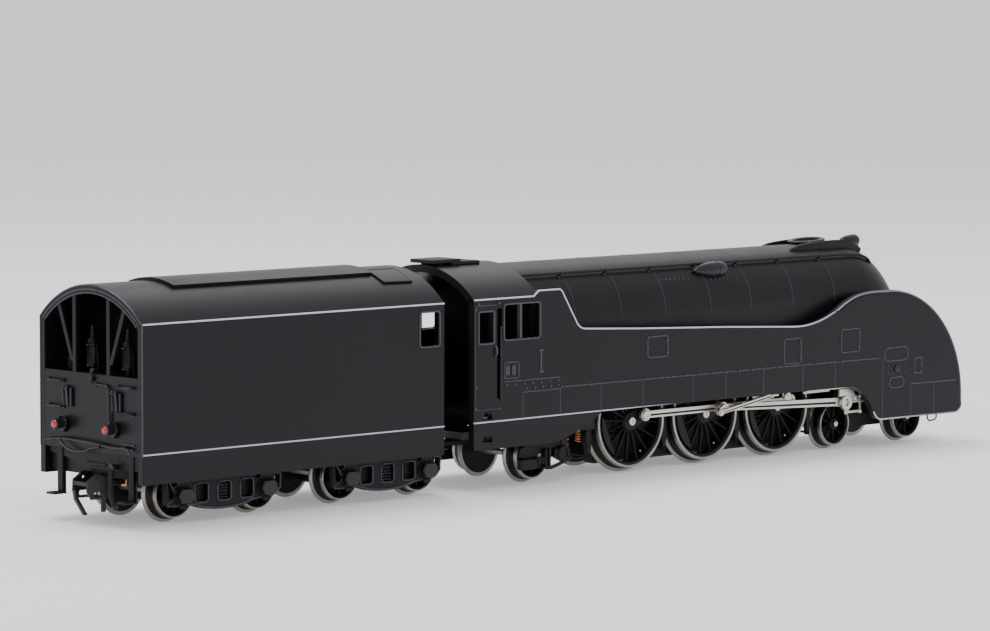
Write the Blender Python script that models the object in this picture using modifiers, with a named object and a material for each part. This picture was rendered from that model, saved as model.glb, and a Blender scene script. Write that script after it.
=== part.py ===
"""Streamlined 4-6-2 steam locomotive with a bogie tender, 1:150 scale on 9 mm gauge track.

Every size is in millimetres and is turned into metres once, at the very end.
+X is the front of the engine, +Y its left side, +Z up.
The wheel flanges stand at z = 0 and the rail top is at RAIL_TOP.
"""
import bpy
import bmesh
from math import asin, atan2, cos, pi, radians, sin, sqrt
from mathutils import Matrix, Vector

MM = 0.001
CLEARANCE = 0.05
MERGE = 0.0002

# Heights
RAIL_TOP = 0.6
BODY_HALF_WIDTH = 9.25
WALL = 0.9
SKIRT_FOOT = 5.2
TRIM_LINE_Z = 8.46
CAB_EAVE_Z = 23.0
CAB_ROOF_Z = 26.75
TENDER_EAVE_Z = 22.9
TENDER_ROOF_Z = 26.9

# Boiler and nose
BOILER_RADIUS = 7.0
BOILER_AXIS_Z = 19.35
BOILER_TOP_Z = BOILER_AXIS_Z + BOILER_RADIUS
RUNNING_BOARD_Z = 16.6
NOSE_BEND_X = 53.0
NOSE_BEND_Z = 12.1
HANDRAIL_RADIUS = 0.16
NOSE_BEND_RADIUS = BOILER_TOP_Z - NOSE_BEND_Z
BOARD_HALF_WIDTH = BODY_HALF_WIDTH - WALL - CLEARANCE

# Lengths along the engine and tender
REAR_X = -69.7
CAB_REAR_X = -18.0
CAB_FRONT_X = -7.5
TENDER_FRONT_X = -22.75
TENDER_REAR_X = -67.74
BAY_X = -64.85

# Wheels
DRIVER_RADIUS = 5.73
CARRYING_RADIUS = 2.75
FLANGE = 0.6
WHEEL_FACE_Y = 5.75
WHEEL_BACK_Y = 3.75
DRIVER_AXLE_Z = RAIL_TOP + DRIVER_RADIUS
CARRYING_AXLE_Z = RAIL_TOP + CARRYING_RADIUS
DRIVER_SPACING = 13.05
MAIN_AXLE_X = 24.8
DRIVER_X = {1: MAIN_AXLE_X + DRIVER_SPACING, 2: MAIN_AXLE_X, 3: MAIN_AXLE_X - DRIVER_SPACING}
SPOKES = 16
LEAD_PIVOT_X = 55.75
LEAD_HALF_BASE = 6.95
TRAIL_AXLE_X = -5.0
TRAIL_PIVOT_X = 5.0
BOGIE_HALF_BASE = 6.05
BOGIE_X = {"rear": -54.35, "front": -29.7}

# Rods: each lies in its own layer, counted outwards from the wheel face
CRANK_THROW = 1.9
CRANK_ANGLE = radians(23.4)
QUARTERING = radians(90)
CRANK_PIN_RADIUS = 0.4
COUPLING_LAYER = (6.12, 6.62)
CAP_LAYER = (6.66, 6.76)
MAIN_LAYER = (6.82, 7.30)
CRANK_ARM_LAYER = (7.42, 7.64)
ECCENTRIC_LAYER = (7.75, 8.1)
SLIDE_LAYER = (7.42, 7.95)
MAIN_ROD_LENGTH = 22.3
RETURN_PIN = (0.55, 0.3)

# Drawbar
ENGINE_PIN_X = -12.0
TENDER_PIN_X = -26.0
DRAWBAR_Z = (4.9, 5.4)

COLOURS = {
    "body_black": ((0.020, 0.020, 0.023), 0.45, 0.0),
    "frame_black": ((0.016, 0.016, 0.018), 0.6, 0.0),
    "wheel_black": ((0.018, 0.018, 0.020), 0.5, 0.0),
    "nickel": ((0.72, 0.69, 0.62), 0.25, 1.0),
    "die_cast": ((0.20, 0.20, 0.21), 0.5, 0.6),
    "motor_steel": ((0.45, 0.45, 0.46), 0.4, 0.9),
    "nylon": ((0.75, 0.73, 0.66), 0.5, 0.0),
    "lamp": ((0.03, 0.03, 0.032), 0.3, 0.0),
}

SIDES = {"right": -1, "left": 1}


# ---------------------------------------------------------------- scene and helpers

def empty_scene():
    for obj in list(bpy.data.objects):
        bpy.data.objects.remove(obj)


def make_materials():
    made = {}
    for name, (colour, roughness, metallic) in COLOURS.items():
        mat = bpy.data.materials.new(name)
        mat.use_nodes = True
        shader = mat.node_tree.nodes["Principled BSDF"]
        shader.inputs["Base Color"].default_value = (*colour, 1)
        shader.inputs["Roughness"].default_value = roughness
        shader.inputs["Metallic"].default_value = metallic
        made[name] = mat
    return made


empty_scene()
MATERIALS = make_materials()
PARTS = bpy.data.collections.new("steam_locomotive")
bpy.context.scene.collection.children.link(PARTS)
ORIGINS = {}


def link(name, data, finish):
    obj = bpy.data.objects.new(name, data)
    PARTS.objects.link(obj)
    data.materials.clear()
    data.materials.append(MATERIALS[finish])
    return obj


def from_bmesh(name, bm, finish):
    bmesh.ops.remove_doubles(bm, verts=bm.verts, dist=MERGE)
    bmesh.ops.recalc_face_normals(bm, faces=bm.faces)
    mesh = bpy.data.meshes.new(name)
    bm.to_mesh(mesh)
    bm.free()
    return link(name, mesh, finish)


def bake(obj):
    """Replace an object by the plain mesh that its curve or modifiers make."""
    bpy.context.view_layer.update()
    graph = bpy.context.evaluated_depsgraph_get()
    mesh = bpy.data.meshes.new_from_object(obj.evaluated_get(graph))
    mesh.transform(obj.matrix_world)
    name = obj.name
    finish = obj.data.materials[0].name
    bpy.data.objects.remove(obj)
    bm = bmesh.new()
    bm.from_mesh(mesh)
    return from_bmesh(name, bm, finish)


def combine(target, tools, operation):
    for tool in tools:
        boolean = target.modifiers.new("shape", "BOOLEAN")
        boolean.operation = operation
        boolean.solver = "EXACT"
        boolean.object = tool
        target = bake(target)
        bpy.data.objects.remove(tool)
    return target


def union(target, *tools):
    return combine(target, tools, "UNION")


def cut(target, *tools):
    return combine(target, tools, "DIFFERENCE")


def box(name, low, high, finish="frame_black"):
    low, high = Vector(low), Vector(high)
    size = high - low
    bm = bmesh.new()
    place = Matrix.Translation((low + high) / 2) @ Matrix.Diagonal((*size, 1))
    bmesh.ops.create_cube(bm, size=1, matrix=place)
    return from_bmesh(name, bm, finish)


def side_box(name, x, y, z, side, finish="frame_black"):
    """A box given by its x, outward y and z ranges, on one side of the engine."""
    near, far = sorted((side * y[0], side * y[1]))
    return box(name, (x[0], near, z[0]), (x[1], far, z[1]), finish)


def rod(name, start, end, radius, finish="frame_black", segments=16, end_radius=None):
    start, end = Vector(start), Vector(end)
    axis = end - start
    turn = axis.to_track_quat("Z", "Y").to_matrix().to_4x4()
    bm = bmesh.new()
    bmesh.ops.create_cone(bm, cap_ends=True, segments=segments, radius1=radius,
                          radius2=radius if end_radius is None else end_radius, depth=axis.length,
                          matrix=Matrix.Translation((start + end) / 2) @ turn)
    return from_bmesh(name, bm, finish)


PLANES = {
    "XZ": Matrix(((1, 0, 0), (0, 0, -1), (0, 1, 0))).to_4x4(),
    "YZ": Matrix(((0, 0, 1), (1, 0, 0), (0, 1, 0))).to_4x4(),
    "XY": Matrix.Identity(4),
}


def plate(name, plane, outline, span, finish="body_black", holes=()):
    """A flat outline, with holes, standing in a plane and filling the span across it."""
    curve = bpy.data.curves.new(name, "CURVE")
    curve.dimensions = "2D"
    curve.fill_mode = "BOTH"
    curve.extrude = abs(span[1] - span[0]) / 2
    for ring in (outline, *holes):
        spline = curve.splines.new("POLY")
        spline.points.add(len(ring) - 1)
        spline.use_cyclic_u = True
        for point, (a, b) in zip(spline.points, ring):
            point.co = (a, b, 0, 1)
    obj = link(name, curve, finish)
    middle = (span[0] + span[1]) / 2
    shift = {"XZ": (0, middle, 0), "YZ": (middle, 0, 0), "XY": (0, 0, middle)}[plane]
    obj.matrix_world = Matrix.Translation(shift) @ PLANES[plane]
    return bake(obj)


def wire(name, points, radius, finish="frame_black"):
    """A bent wire through the points, with filled ends."""
    curve = bpy.data.curves.new(name, "CURVE")
    curve.dimensions = "3D"
    curve.bevel_depth = radius
    curve.bevel_resolution = 2
    curve.use_fill_caps = True
    spline = curve.splines.new("POLY")
    spline.points.add(len(points) - 1)
    for point, place in zip(spline.points, points):
        point.co = (*place, 1)
    return bake(link(name, curve, finish))


def turned(name, profile, axis, finish, steps=20):
    """A solid of revolution: profile of (radius, along) from one end of the axis to the other."""
    top, bottom = profile[0][1], profile[-1][1]
    if top < bottom:
        profile = profile[::-1]
    mesh = bpy.data.meshes.new(name)
    verts = [(radius, 0, along) for radius, along in profile]
    mesh.from_pydata(verts, [(i, i + 1) for i in range(len(verts) - 1)], [])
    obj = link(name, mesh, finish)
    screw = obj.modifiers.new("turn", "SCREW")
    screw.steps = steps
    screw.render_steps = steps
    screw.use_merge_vertices = True
    screw.merge_threshold = 0.0001
    obj.matrix_world = axis
    return bake(obj)


def along_y(x, z):
    """A frame whose own Z axis runs along the engine's Y axis, through (x, z)."""
    return Matrix.Translation((x, 0, z)) @ Matrix.Rotation(-pi / 2, 4, "X")


def along_x(y, z):
    return Matrix.Translation((0, y, z)) @ Matrix.Rotation(pi / 2, 4, "Y")


def arc(centre, radius, start, end, steps):
    angles = [radians(start + (end - start) * i / steps) for i in range(steps + 1)]
    return [(centre[0] + radius * cos(a), centre[1] + radius * sin(a)) for a in angles]


def curve_through(points, steps=4):
    """Catmull-Rom points through a short list of (a, b) points."""
    smooth = []
    padded = [points[0], *points, points[-1]]
    for p0, p1, p2, p3 in zip(padded, padded[1:], padded[2:], padded[3:]):
        for i in range(steps):
            t = i / steps
            smooth.append(tuple(
                0.5 * (2 * b + (c - a) * t + (2 * a - 5 * b + 4 * c - d) * t * t
                       + (3 * b - a - 3 * c + d) * t ** 3)
                for a, b, c, d in zip(p0, p1, p2, p3)))
    return [*smooth, points[-1]]


def arch(half_width, eave, apex, inset=0.0, steps=16):
    """Roof arc in (y, z) from the left eave over the apex to the right eave."""
    rise = apex - eave
    radius = (half_width ** 2 + rise ** 2) / (2 * rise)
    centre_z = apex - radius
    reach = degrees_of((half_width - inset) / (radius - inset))
    return arc((0, centre_z), radius - inset, 90 - reach, 90 + reach, steps)


def degrees_of(sine):
    return asin(sine) * 180 / pi


def stadium(start, end, start_radius, end_radius, steps=8):
    """Outline of a bar in (x, z) between two round eyes."""
    lean = atan2(end[1] - start[1], end[0] - start[0]) * 180 / pi
    return (arc(start, start_radius, lean + 90, lean + 270, steps)
            + arc(end, end_radius, lean - 90, lean + 90, steps))


def ring(centre, radius, steps=16):
    return arc(centre, radius, 0, 360 * (steps - 1) / steps, steps - 1)


# ---------------------------------------------------------------- body shells

def shell_section(eave, apex, foot):
    """Inverted U of a cab or tender: walls and arched roof, WALL thick."""
    outer = arch(BODY_HALF_WIDTH, eave, apex)
    inner = arch(BODY_HALF_WIDTH, eave, apex, inset=WALL)
    return ([(BODY_HALF_WIDTH, foot)] + outer + [(-BODY_HALF_WIDTH, foot)]
            + [(-BODY_HALF_WIDTH + WALL, foot)] + inner[::-1] + [(BODY_HALF_WIDTH - WALL, foot)])


def make_cab():
    shell = plate("cab_shell", "YZ", shell_section(CAB_EAVE_Z, CAB_ROOF_Z, SKIRT_FOOT),
                  (CAB_REAR_X, CAB_FRONT_X))
    roof = arch(BODY_HALF_WIDTH, CAB_EAVE_Z, CAB_ROOF_Z, inset=WALL / 2)
    floor_z = 9.0
    wall = plate("front_wall", "YZ", [(8.8, floor_z)] + roof + [(-8.8, floor_z)],
                 (CAB_FRONT_X - 0.6, CAB_FRONT_X - 0.02))
    floor = box("floor", (CAB_REAR_X + 0.6, -8.8, floor_z), (CAB_FRONT_X - 0.3, 8.8, floor_z + 0.7))
    shell = union(shell, wall, floor)
    for side in SIDES.values():
        door_light = side_box("door_light", (-17.27, -14.64), (8.0, 9.6), (17.7, 21.6), side)
        window = side_box("window", (-13.17, -8.3), (8.0, 9.6), (18.0, 22.3), side)
        step_hole = side_box("step_hole", (-16.5, -15.0), (8.0, 9.6), (6.2, 7.2), side)
        shell = cut(shell, door_light, window, step_hole)


def valance_outline():
    """Side plate in (x, z): cab shoulder, long upper edge, round nose, wheel arch, straight edge."""
    upper = [(CAB_FRONT_X + CLEARANCE, 23.63), (-3.76, 23.63), (-0.99, 19.26), (0.0, 18.63),
             (9.63, 18.13), (24.91, 17.45), (36.75, 16.8)]
    shoulder = curve_through([(39.15, 16.77), (41.57, 17.19), (46.44, 19.0), (50.96, 20.39)], 3)
    nose = arc((55.4, 6.2), 14.3, 92, 0, 12)
    toe = arc((68.0, 5.5), 1.7, 0, -80, 3)
    arch_back = curve_through([(53.6, 3.8), (52.65, 4.45), (51.2, 6.6), (49.0, 8.1),
                               (47.0, TRIM_LINE_Z)], 3)
    skirt = [(3.4, TRIM_LINE_Z), (1.13, 7.16), (-0.92, 6.33), (-3.3, 5.4),
             (-4.2, SKIRT_FOOT), (CAB_FRONT_X + CLEARANCE, SKIRT_FOOT)]
    return upper + shoulder + nose + toe + arch_back + skirt


def make_valances():
    for name, side in SIDES.items():
        span = sorted((side * (BODY_HALF_WIDTH - WALL), side * BODY_HALF_WIDTH))
        plate(f"valance_{name}", "XZ", valance_outline(), span)


def boiler_section():
    """Round-topped casing with straight flanks and flat running boards, as a closed strip."""
    outer = arc((0, BOILER_AXIS_Z), BOILER_RADIUS, 0, 180, 20)
    inner = arc((0, BOILER_AXIS_Z), BOILER_RADIUS - WALL, 180, 0, 20)
    board_top = RUNNING_BOARD_Z
    board_foot = RUNNING_BOARD_Z - WALL
    edge = BOARD_HALF_WIDTH
    inside = BOILER_RADIUS - WALL
    return ([(edge, board_foot), (edge, board_top), (BOILER_RADIUS, board_top)] + outer
            + [(-BOILER_RADIUS, board_top), (-edge, board_top), (-edge, board_foot),
               (-inside, board_foot)] + inner + [(inside, board_foot)])


def make_boiler():
    plate("boiler_casing", "YZ", boiler_section(), (CAB_FRONT_X + CLEARANCE, NOSE_BEND_X))


def eased(share):
    """0 to 1 with a gentle start and end; outside that span it stays at the ends."""
    share = min(1.0, max(0.0, share))
    return share * share * (3 - 2 * share)


def nose_length(angle):
    """How much of the bend's height its length is: short over the top, full at the foot."""
    return 0.86 + 0.14 * eased(1 - 4 * angle / pi)


def nose_point(angle, y, inset=0.0):
    """A point of the nose: the boiler section bends down, then flares to the full width."""
    down = 1 - angle / (pi / 2)
    spread = BOILER_RADIUS + 9.0 * eased((down - 0.3) / 0.7) - inset
    board_depth = BOILER_TOP_Z - RUNNING_BOARD_Z
    depth = board_depth
    if abs(y) < spread:
        depth = min(board_depth, spread - sqrt(spread ** 2 - y ** 2))
    reach = NOSE_BEND_RADIUS - inset - depth
    forward = nose_length(angle) * reach * cos(angle)
    return Vector((NOSE_BEND_X + forward, y, NOSE_BEND_Z + reach * sin(angle)))


def nose_sheet(bm, inset):
    """Grid of vertices over the bend and down the apron."""
    across, bend_steps, apron_foot = 20, 10, 4.2
    rows = []
    for i in range(bend_steps + 1):
        angle = pi / 2 * (1 - i / bend_steps)
        rows.append([nose_point(angle, BOARD_HALF_WIDTH * (2 * j / across - 1), inset)
                     for j in range(across + 1)])
    rows.append([Vector((point.x, point.y, apron_foot)) for point in rows[-1]])
    seam = Vector((CLEARANCE, 0, 0))
    return [[bm.verts.new(point + seam) for point in row] for row in rows]


def make_nose():
    """The nose and apron: an outer and an inner sheet joined round their borders."""
    bm = bmesh.new()
    outer = nose_sheet(bm, 0.0)
    inner = nose_sheet(bm, 0.7)
    for sheet in (outer, inner):
        for row, below in zip(sheet, sheet[1:]):
            for quad in zip(row, row[1:], below[1:], below):
                bm.faces.new(quad)
    borders = [(outer[0], inner[0]), (outer[-1], inner[-1]),
               ([row[0] for row in outer], [row[0] for row in inner]),
               ([row[-1] for row in outer], [row[-1] for row in inner])]
    for edge, under in borders:
        for quad in zip(edge, edge[1:], under[1:], under):
            bm.faces.new(quad)
    from_bmesh("nose_casing", bm, "body_black")


def boiler_clearance(x_from, x_to):
    """Cutter that keeps fittings off the boiler's round surface."""
    return rod("boiler_clearance", (x_from, 0, BOILER_AXIS_Z), (x_to, 0, BOILER_AXIS_Z),
               BOILER_RADIUS + CLEARANCE, segments=64)


def nose_clearance():
    """Cutter that keeps fittings off the bend of the nose."""
    reach = NOSE_BEND_RADIUS + CLEARANCE
    bend = []
    for step in range(41):
        angle = pi / 2 * step / 40
        bend.append((NOSE_BEND_X + nose_length(angle) * reach * cos(angle), NOSE_BEND_Z + reach * sin(angle)))
    return plate("nose_clearance", "XZ", bend + [(NOSE_BEND_X, NOSE_BEND_Z)], (-12, 12))


def make_roof_fittings():
    base = box("roof_vent", (-16.9, -1.2, CAB_ROOF_Z + CLEARANCE), (-11.3, 1.2, 26.95), "body_black")
    rear = box("rear_lid", (-18.0, -2.0, 26.93), (-13.4, 2.0, 27.3), "body_black")
    front = box("front_lid", (-14.8, -2.0, 26.83), (-10.3, 2.0, 27.05), "body_black")
    union(base, rear, front)

    cowl = turned("chimney_cowl", [(2.35, 26.9), (2.35, 25.0), (1.35, 25.0), (1.35, 26.9), (2.35, 26.9)],
                  Matrix.Translation((49.3, 0, 0)), "body_black", steps=24)
    cut(cowl, boiler_clearance(40, 60))
    for name, side in SIDES.items():
        outline = curve_through([(43.0, 24.5), (43.4, 25.9), (45.2, 26.6), (48.0, 26.75),
                                 (51.0, 26.7), (53.0, 26.4), (53.0, 24.5)], 2)
        span = sorted((side * 2.45, side * 2.85))
        wing = plate(f"smoke_plate_{name}", "XZ", outline, span)
        cut(wing, boiler_clearance(40, 60), nose_clearance())
    lamp_profile = [(0, 55.9), (0.45, 56.2), (0.72, 57.1), (0.75, 58.9), (0.6, 59.2), (0, 59.2)]
    lamp = turned("headlamp", lamp_profile, along_x(0, 26.25), "lamp", steps=16)
    cut(lamp, nose_clearance())


def handrail_line(side):
    """(y, z) of the long handrail on one shoulder of the boiler."""
    shoulder = radians(39)
    reach = BOILER_RADIUS + 0.6
    return side * reach * sin(shoulder), BOILER_AXIS_Z + reach * cos(shoulder)


def make_turret_covers():
    """Teardrop covers lying on the boiler's shoulders, blunt end forward, grooved for the rail."""
    shoulder = radians(46.5)
    for name, side in SIDES.items():
        profile = [(0, 22.9), (0.35, 24.0), (0.75, 25.4), (0.95, 26.8), (0.9, 27.8), (0.55, 28.5), (0, 28.8)]
        distance = BOILER_RADIUS + 0.25
        centre_y = side * distance * sin(shoulder)
        centre_z = BOILER_AXIS_Z + distance * cos(shoulder)
        cover = turned(f"turret_cover_{name}", profile, along_x(centre_y, centre_z), "body_black", steps=12)
        rail_y, rail_z = handrail_line(side)
        groove_radius = HANDRAIL_RADIUS + 0.08
        groove = rod("groove", (20, rail_y, rail_z), (32, rail_y, rail_z), groove_radius, segments=12)
        cut(cover, boiler_clearance(20, 32), groove)


def make_handrails():
    """Long rails on the boiler's shoulders, carried by posts and bent down round the nose."""
    for name, side in SIDES.items():
        y, z = handrail_line(side)
        tip_z = z - 0.7
        points = [(-6.8, side * 5.2, tip_z), (-6.2, y, z), (51.0, y, z)]
        for bend, lift in ((84, 0.6), (76, 0.6), (68, 0.55), (61, 0.3)):
            angle = radians(bend)
            points.append(nose_point(angle, y) + lift * Vector((cos(angle), 0, sin(angle))))
        rail = wire(f"handrail_{name}", points, HANDRAIL_RADIUS)
        posts = []
        for x in (0.5, 8.2, 15.9, 23.6, 31.3, 39.0, 46.7):
            inward = Vector((0, y, z - BOILER_AXIS_Z)).normalized() * 0.55
            posts.append(rod("post", Vector((x, y, z)) - inward, (x, y, z), 0.14, segments=8))
        rail = union(rail, *posts)
        cut(rail, boiler_clearance(-10, NOSE_BEND_X + 1))


# ---------------------------------------------------------------- engine chassis and drive

def make_chassis():
    """Die-cast block with axle slots below, a channel for the worm and a weight in the boiler."""
    block_foot = 5.0
    block_rear = 8.4
    outline = [(block_rear, block_foot), (block_rear, 6.6), (10.6, 6.6), (10.6, 9.6), (28.9, 9.6),
               (28.9, 12.6), (12.0, 12.6), (12.0, 21.5), (50.0, 21.5), (50.0, 9.8), (59.0, 9.8),
               (59.0, 8.8), (44.6, 8.8), (44.6, block_foot)]
    slot = 1.0
    for number in (1, 2, 3):
        x = DRIVER_X[number]
        top = DRIVER_AXLE_Z + slot
        outline += [(x + slot, block_foot), (x + slot, top), (x - slot, top), (x - slot, block_foot)]
    block = plate("chassis_block", "XZ", outline, (-3.3, 3.3), "die_cast")
    tail_half_width = 2.4
    tail = box("tail", (-13.6, -tail_half_width, 5.6), (block_rear + 0.6, tail_half_width, 6.5), "die_cast")
    weight = box("weight", (12.3, -5.2, 16.0), (49.7, 5.2, 21.9), "die_cast")
    worm_slot = box("worm_slot", (20.6, -1.5, 4.6), (28.6, 1.5, 12.9))
    engine_pin = rod("engine_pin", (ENGINE_PIN_X, 0, 4.7), (ENGINE_PIN_X, 0, 6.1), 0.6, segments=12)
    lead_pin = rod("lead_pin", (LEAD_PIVOT_X, 0, 3.2), (LEAD_PIVOT_X, 0, 9.3), 0.6, segments=12)
    trail_pin = rod("trail_pin", (TRAIL_PIVOT_X, 0, 4.2), (TRAIL_PIVOT_X, 0, 6.1), 0.6, segments=12)
    block = cut(block, worm_slot)
    union(block, tail, weight, engine_pin, lead_pin, trail_pin)
    keeper = box("keeper_plate", (8.6, -3.1, 4.3), (44.4, 3.1, block_foot - CLEARANCE))
    cut(keeper, box("gear_slot", (22.0, -1.1, 4.0), (27.6, 1.1, 5.3)))


def make_drive():
    """Can motor behind the drivers, worm shaft, and the gear on the main axle."""
    tip, root = 2.6, 2.25
    worm_radius = 1.4
    shaft_z = DRIVER_AXLE_Z + tip + worm_radius + 0.07
    ORIGINS["worm_shaft"] = (MAIN_AXLE_X, 0, shaft_z)
    motor = rod("motor", (-6.4, 0, shaft_z), (9.8, 0, shaft_z), 3.6, "motor_steel", 20)
    cut(motor, rod("shaft_bore", (-7, 0, shaft_z), (10.4, 0, shaft_z), 0.6))
    shaft = [(0, -5.6), (0.45, -5.6), (0.45, 21.4), (worm_radius, 21.4), (worm_radius, 28.2),
             (0.45, 28.2), (0.45, 28.55), (0, 28.55)]
    turned("worm_shaft", shaft, along_x(0, shaft_z), "motor_steel", 16)
    gear_teeth = 18
    outline = []
    for tooth in range(gear_teeth):
        pitch = 360 / gear_teeth
        for share, radius in ((0.0, root), (0.3, root), (0.4, tip), (0.75, tip), (0.9, root)):
            angle = radians(pitch * (tooth + share))
            outline.append((MAIN_AXLE_X + radius * cos(angle), DRIVER_AXLE_Z + radius * sin(angle)))
    plate("worm_gear", "XZ", outline, (-0.8, 0.8), "nylon",
          holes=[ring((MAIN_AXLE_X, DRIVER_AXLE_Z), 0.95)])


def crank_offset(side):
    """Crank pin from its axle in (x, z); the left side is set a quarter turn away."""
    angle = CRANK_ANGLE + (QUARTERING if side > 0 else 0)
    return CRANK_THROW * cos(angle), CRANK_THROW * sin(angle)


def return_offset(side):
    x, z = RETURN_PIN
    return (x, z) if side < 0 else (-z, x)


def driver_web(number, side):
    """Spoked centre of a driving wheel; the gaps facing away from the crank are filled."""
    centre = (DRIVER_X[number], DRIVER_AXLE_Z)
    pin_x, pin_z = crank_offset(side)
    crank = atan2(pin_z, pin_x)
    gaps = []
    for i in range(SPOKES):
        middle = 2 * pi * (i + 0.5) / SPOKES
        toward = cos(middle - crank)
        if toward < -0.72:
            continue
        inner = 1.5 if toward < 0.6 else 2.7
        gap_in, gap_out = 0.55 * pi / SPOKES, 0.78 * pi / SPOKES
        gaps.append([(centre[0] + r * cos(middle + t), centre[1] + r * sin(middle + t))
                     for r, t in ((inner, -gap_in), (4.75, -gap_out), (4.75, gap_out), (inner, gap_in))])
    span = sorted((side * 4.9, side * 5.6))
    return plate("web", "XZ", ring(centre, 5.0, 24), span, "wheel_black", holes=gaps)


def make_driver(number):
    x, z = DRIVER_X[number], DRIVER_AXLE_Z
    name = f"driver_wheelset_{number}"
    ORIGINS[name] = (x, 0, z)
    wheelset = rod(name, (x, -5.95, z), (x, 5.95, z), 0.9, "wheel_black", 12)
    for side in SIDES.values():
        tread, inner = DRIVER_RADIUS, 4.8
        profile = [(inner, WHEEL_FACE_Y), (tread, WHEEL_FACE_Y), (tread, 4.4), (tread + FLANGE, 4.1),
                   (tread + FLANGE, WHEEL_BACK_Y), (inner, WHEEL_BACK_Y), (inner, WHEEL_FACE_Y)]
        outwards = Matrix.Rotation(pi if side < 0 else 0, 4, "X")
        tyre = turned("tyre", profile, along_y(x, z) @ outwards, "wheel_black", steps=24)
        hub = rod("hub", (x, side * 4.0, z), (x, side * 5.82, z), 1.45, "wheel_black", 12)
        pin_x, pin_z = crank_offset(side)
        pin_end = {1: CAP_LAYER[1], 2: CRANK_ARM_LAYER[1] - 0.02, 3: CAP_LAYER[1] + 0.15}[number]
        boss = rod("boss", (x + pin_x, side * 5.03, z + pin_z), (x + pin_x, side * 5.98, z + pin_z),
                   0.77, "wheel_black", 12)
        pin = rod("pin", (x + pin_x, side * 5.2, z + pin_z), (x + pin_x, side * pin_end, z + pin_z),
                  CRANK_PIN_RADIUS, "nickel", 10)
        pieces = [tyre, driver_web(number, side), hub, boss, pin]
        if number == 2:
            pieces += return_crank(side)
        else:
            pieces.append(rod("cap", (x + pin_x, side * CAP_LAYER[0], z + pin_z),
                              (x + pin_x, side * (pin_end - 0.01), z + pin_z), 0.58, "nickel", 12))
        wheelset = union(wheelset, *pieces)


def return_crank(side):
    """Arm on the end of the main crank pin, with the eccentric rod's pin."""
    x, z = MAIN_AXLE_X, DRIVER_AXLE_Z
    pin = tuple(a + b for a, b in zip((x, z), crank_offset(side)))
    end = tuple(a + b for a, b in zip((x, z), return_offset(side)))
    span = sorted((side * CRANK_ARM_LAYER[0], side * CRANK_ARM_LAYER[1]))
    arm = plate("arm", "XZ", stadium(pin, end, 0.55, 0.4), span, "nickel")
    stud = rod("stud", (end[0], side * 7.5, end[1]),
               (end[0], side * (ECCENTRIC_LAYER[1] + 0.06), end[1]), 0.2, "nickel", 12)
    return [arm, stud]


def carrying_wheelset(name, x, stub):
    """Axle with two wheels, turned in one profile; stub is where the axle ends."""
    ORIGINS[name] = (x, 0, CARRYING_AXLE_Z)
    tread = CARRYING_RADIUS
    half = [(0, stub), (0.4, stub), (0.4, 5.5), (2.2, 5.5), (2.2, WHEEL_FACE_Y), (tread, WHEEL_FACE_Y),
            (tread, 4.4), (tread + FLANGE, 4.1), (tread + FLANGE, WHEEL_BACK_Y), (0.7, WHEEL_BACK_Y)]
    profile = half + [(radius, -along) for radius, along in half[::-1]]
    turned(name, profile, along_y(x, CARRYING_AXLE_Z), "wheel_black", 16)


def make_trucks():
    """Leading truck between its wheels, trailing truck with frames outside its wheels."""
    z = CARRYING_AXLE_Z
    ORIGINS["lead_truck"] = (LEAD_PIVOT_X, 0, z)
    half = LEAD_HALF_BASE
    frame = [(-half - 1.6, z - 0.3), (-half - 1.6, z + 1.4), (half + 1.6, z + 1.4), (half + 1.6, z - 0.3),
             (half + 0.9, z - 0.3), (half + 0.9, z + 0.9), (half - 0.9, z + 0.9), (half - 0.9, z - 1.0),
             (-half + 0.9, z - 1.0), (-half + 0.9, z + 0.9), (-half - 0.9, z + 0.9), (-half - 0.9, z - 0.3)]
    outline = [(LEAD_PIVOT_X + x, height) for x, height in frame]
    truck = plate("lead_truck", "XZ", outline, (-3.2, 3.2), "frame_black")
    cut(truck, rod("pivot_bore", (LEAD_PIVOT_X, 0, 0), (LEAD_PIVOT_X, 0, 9), 0.75, segments=20))
    carrying_wheelset("lead_wheelset_front", LEAD_PIVOT_X + half, 5.98)
    carrying_wheelset("lead_wheelset_rear", LEAD_PIVOT_X - half, 5.98)

    ORIGINS["trail_truck"] = (TRAIL_PIVOT_X, 0, z)
    outline = [(TRAIL_PIVOT_X + 1.6, -1.4), (TRAIL_PIVOT_X + 1.6, 1.4), (1.6, 3.0), (-0.4, 7.4),
               (-1.4, 7.4), (-1.4, -7.4), (-0.4, -7.4), (1.6, -3.0)]
    arm = plate("trail_truck", "XY", outline, (4.5, 5.3), "frame_black")
    arm = cut(arm, rod("pivot_bore", (TRAIL_PIVOT_X, 0, 0), (TRAIL_PIVOT_X, 0, 9), 0.75, segments=20))
    for side in SIDES.values():
        x = TRAIL_AXLE_X
        profile = [(x - 3.6, 3.1), (x - 3.4, 4.6), (x - 1.4, 5.3), (x + 4.4, 5.3), (x + 4.6, 4.5),
                   (x + 2.6, 3.6), (x + 1.4, 2.0), (x - 1.4, 2.0), (x - 2.2, 3.0)]
        span = sorted((side * 6.4, side * 7.3))
        cheek = plate("cheek", "XZ", profile, span, "frame_black")
        axlebox = side_box("axlebox", (x - 1.0, x + 1.0), (7.0, 7.9), (z - 1.0, z + 1.0), side)
        bearing = rod("bearing", (x, side * 6.0, z), (x, side * 7.2, z), 0.55, segments=20)
        cheek = cut(union(cheek, axlebox), bearing)
        arm = union(arm, cheek)
    carrying_wheelset("trail_wheelset", TRAIL_AXLE_X, 7.1)


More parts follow.
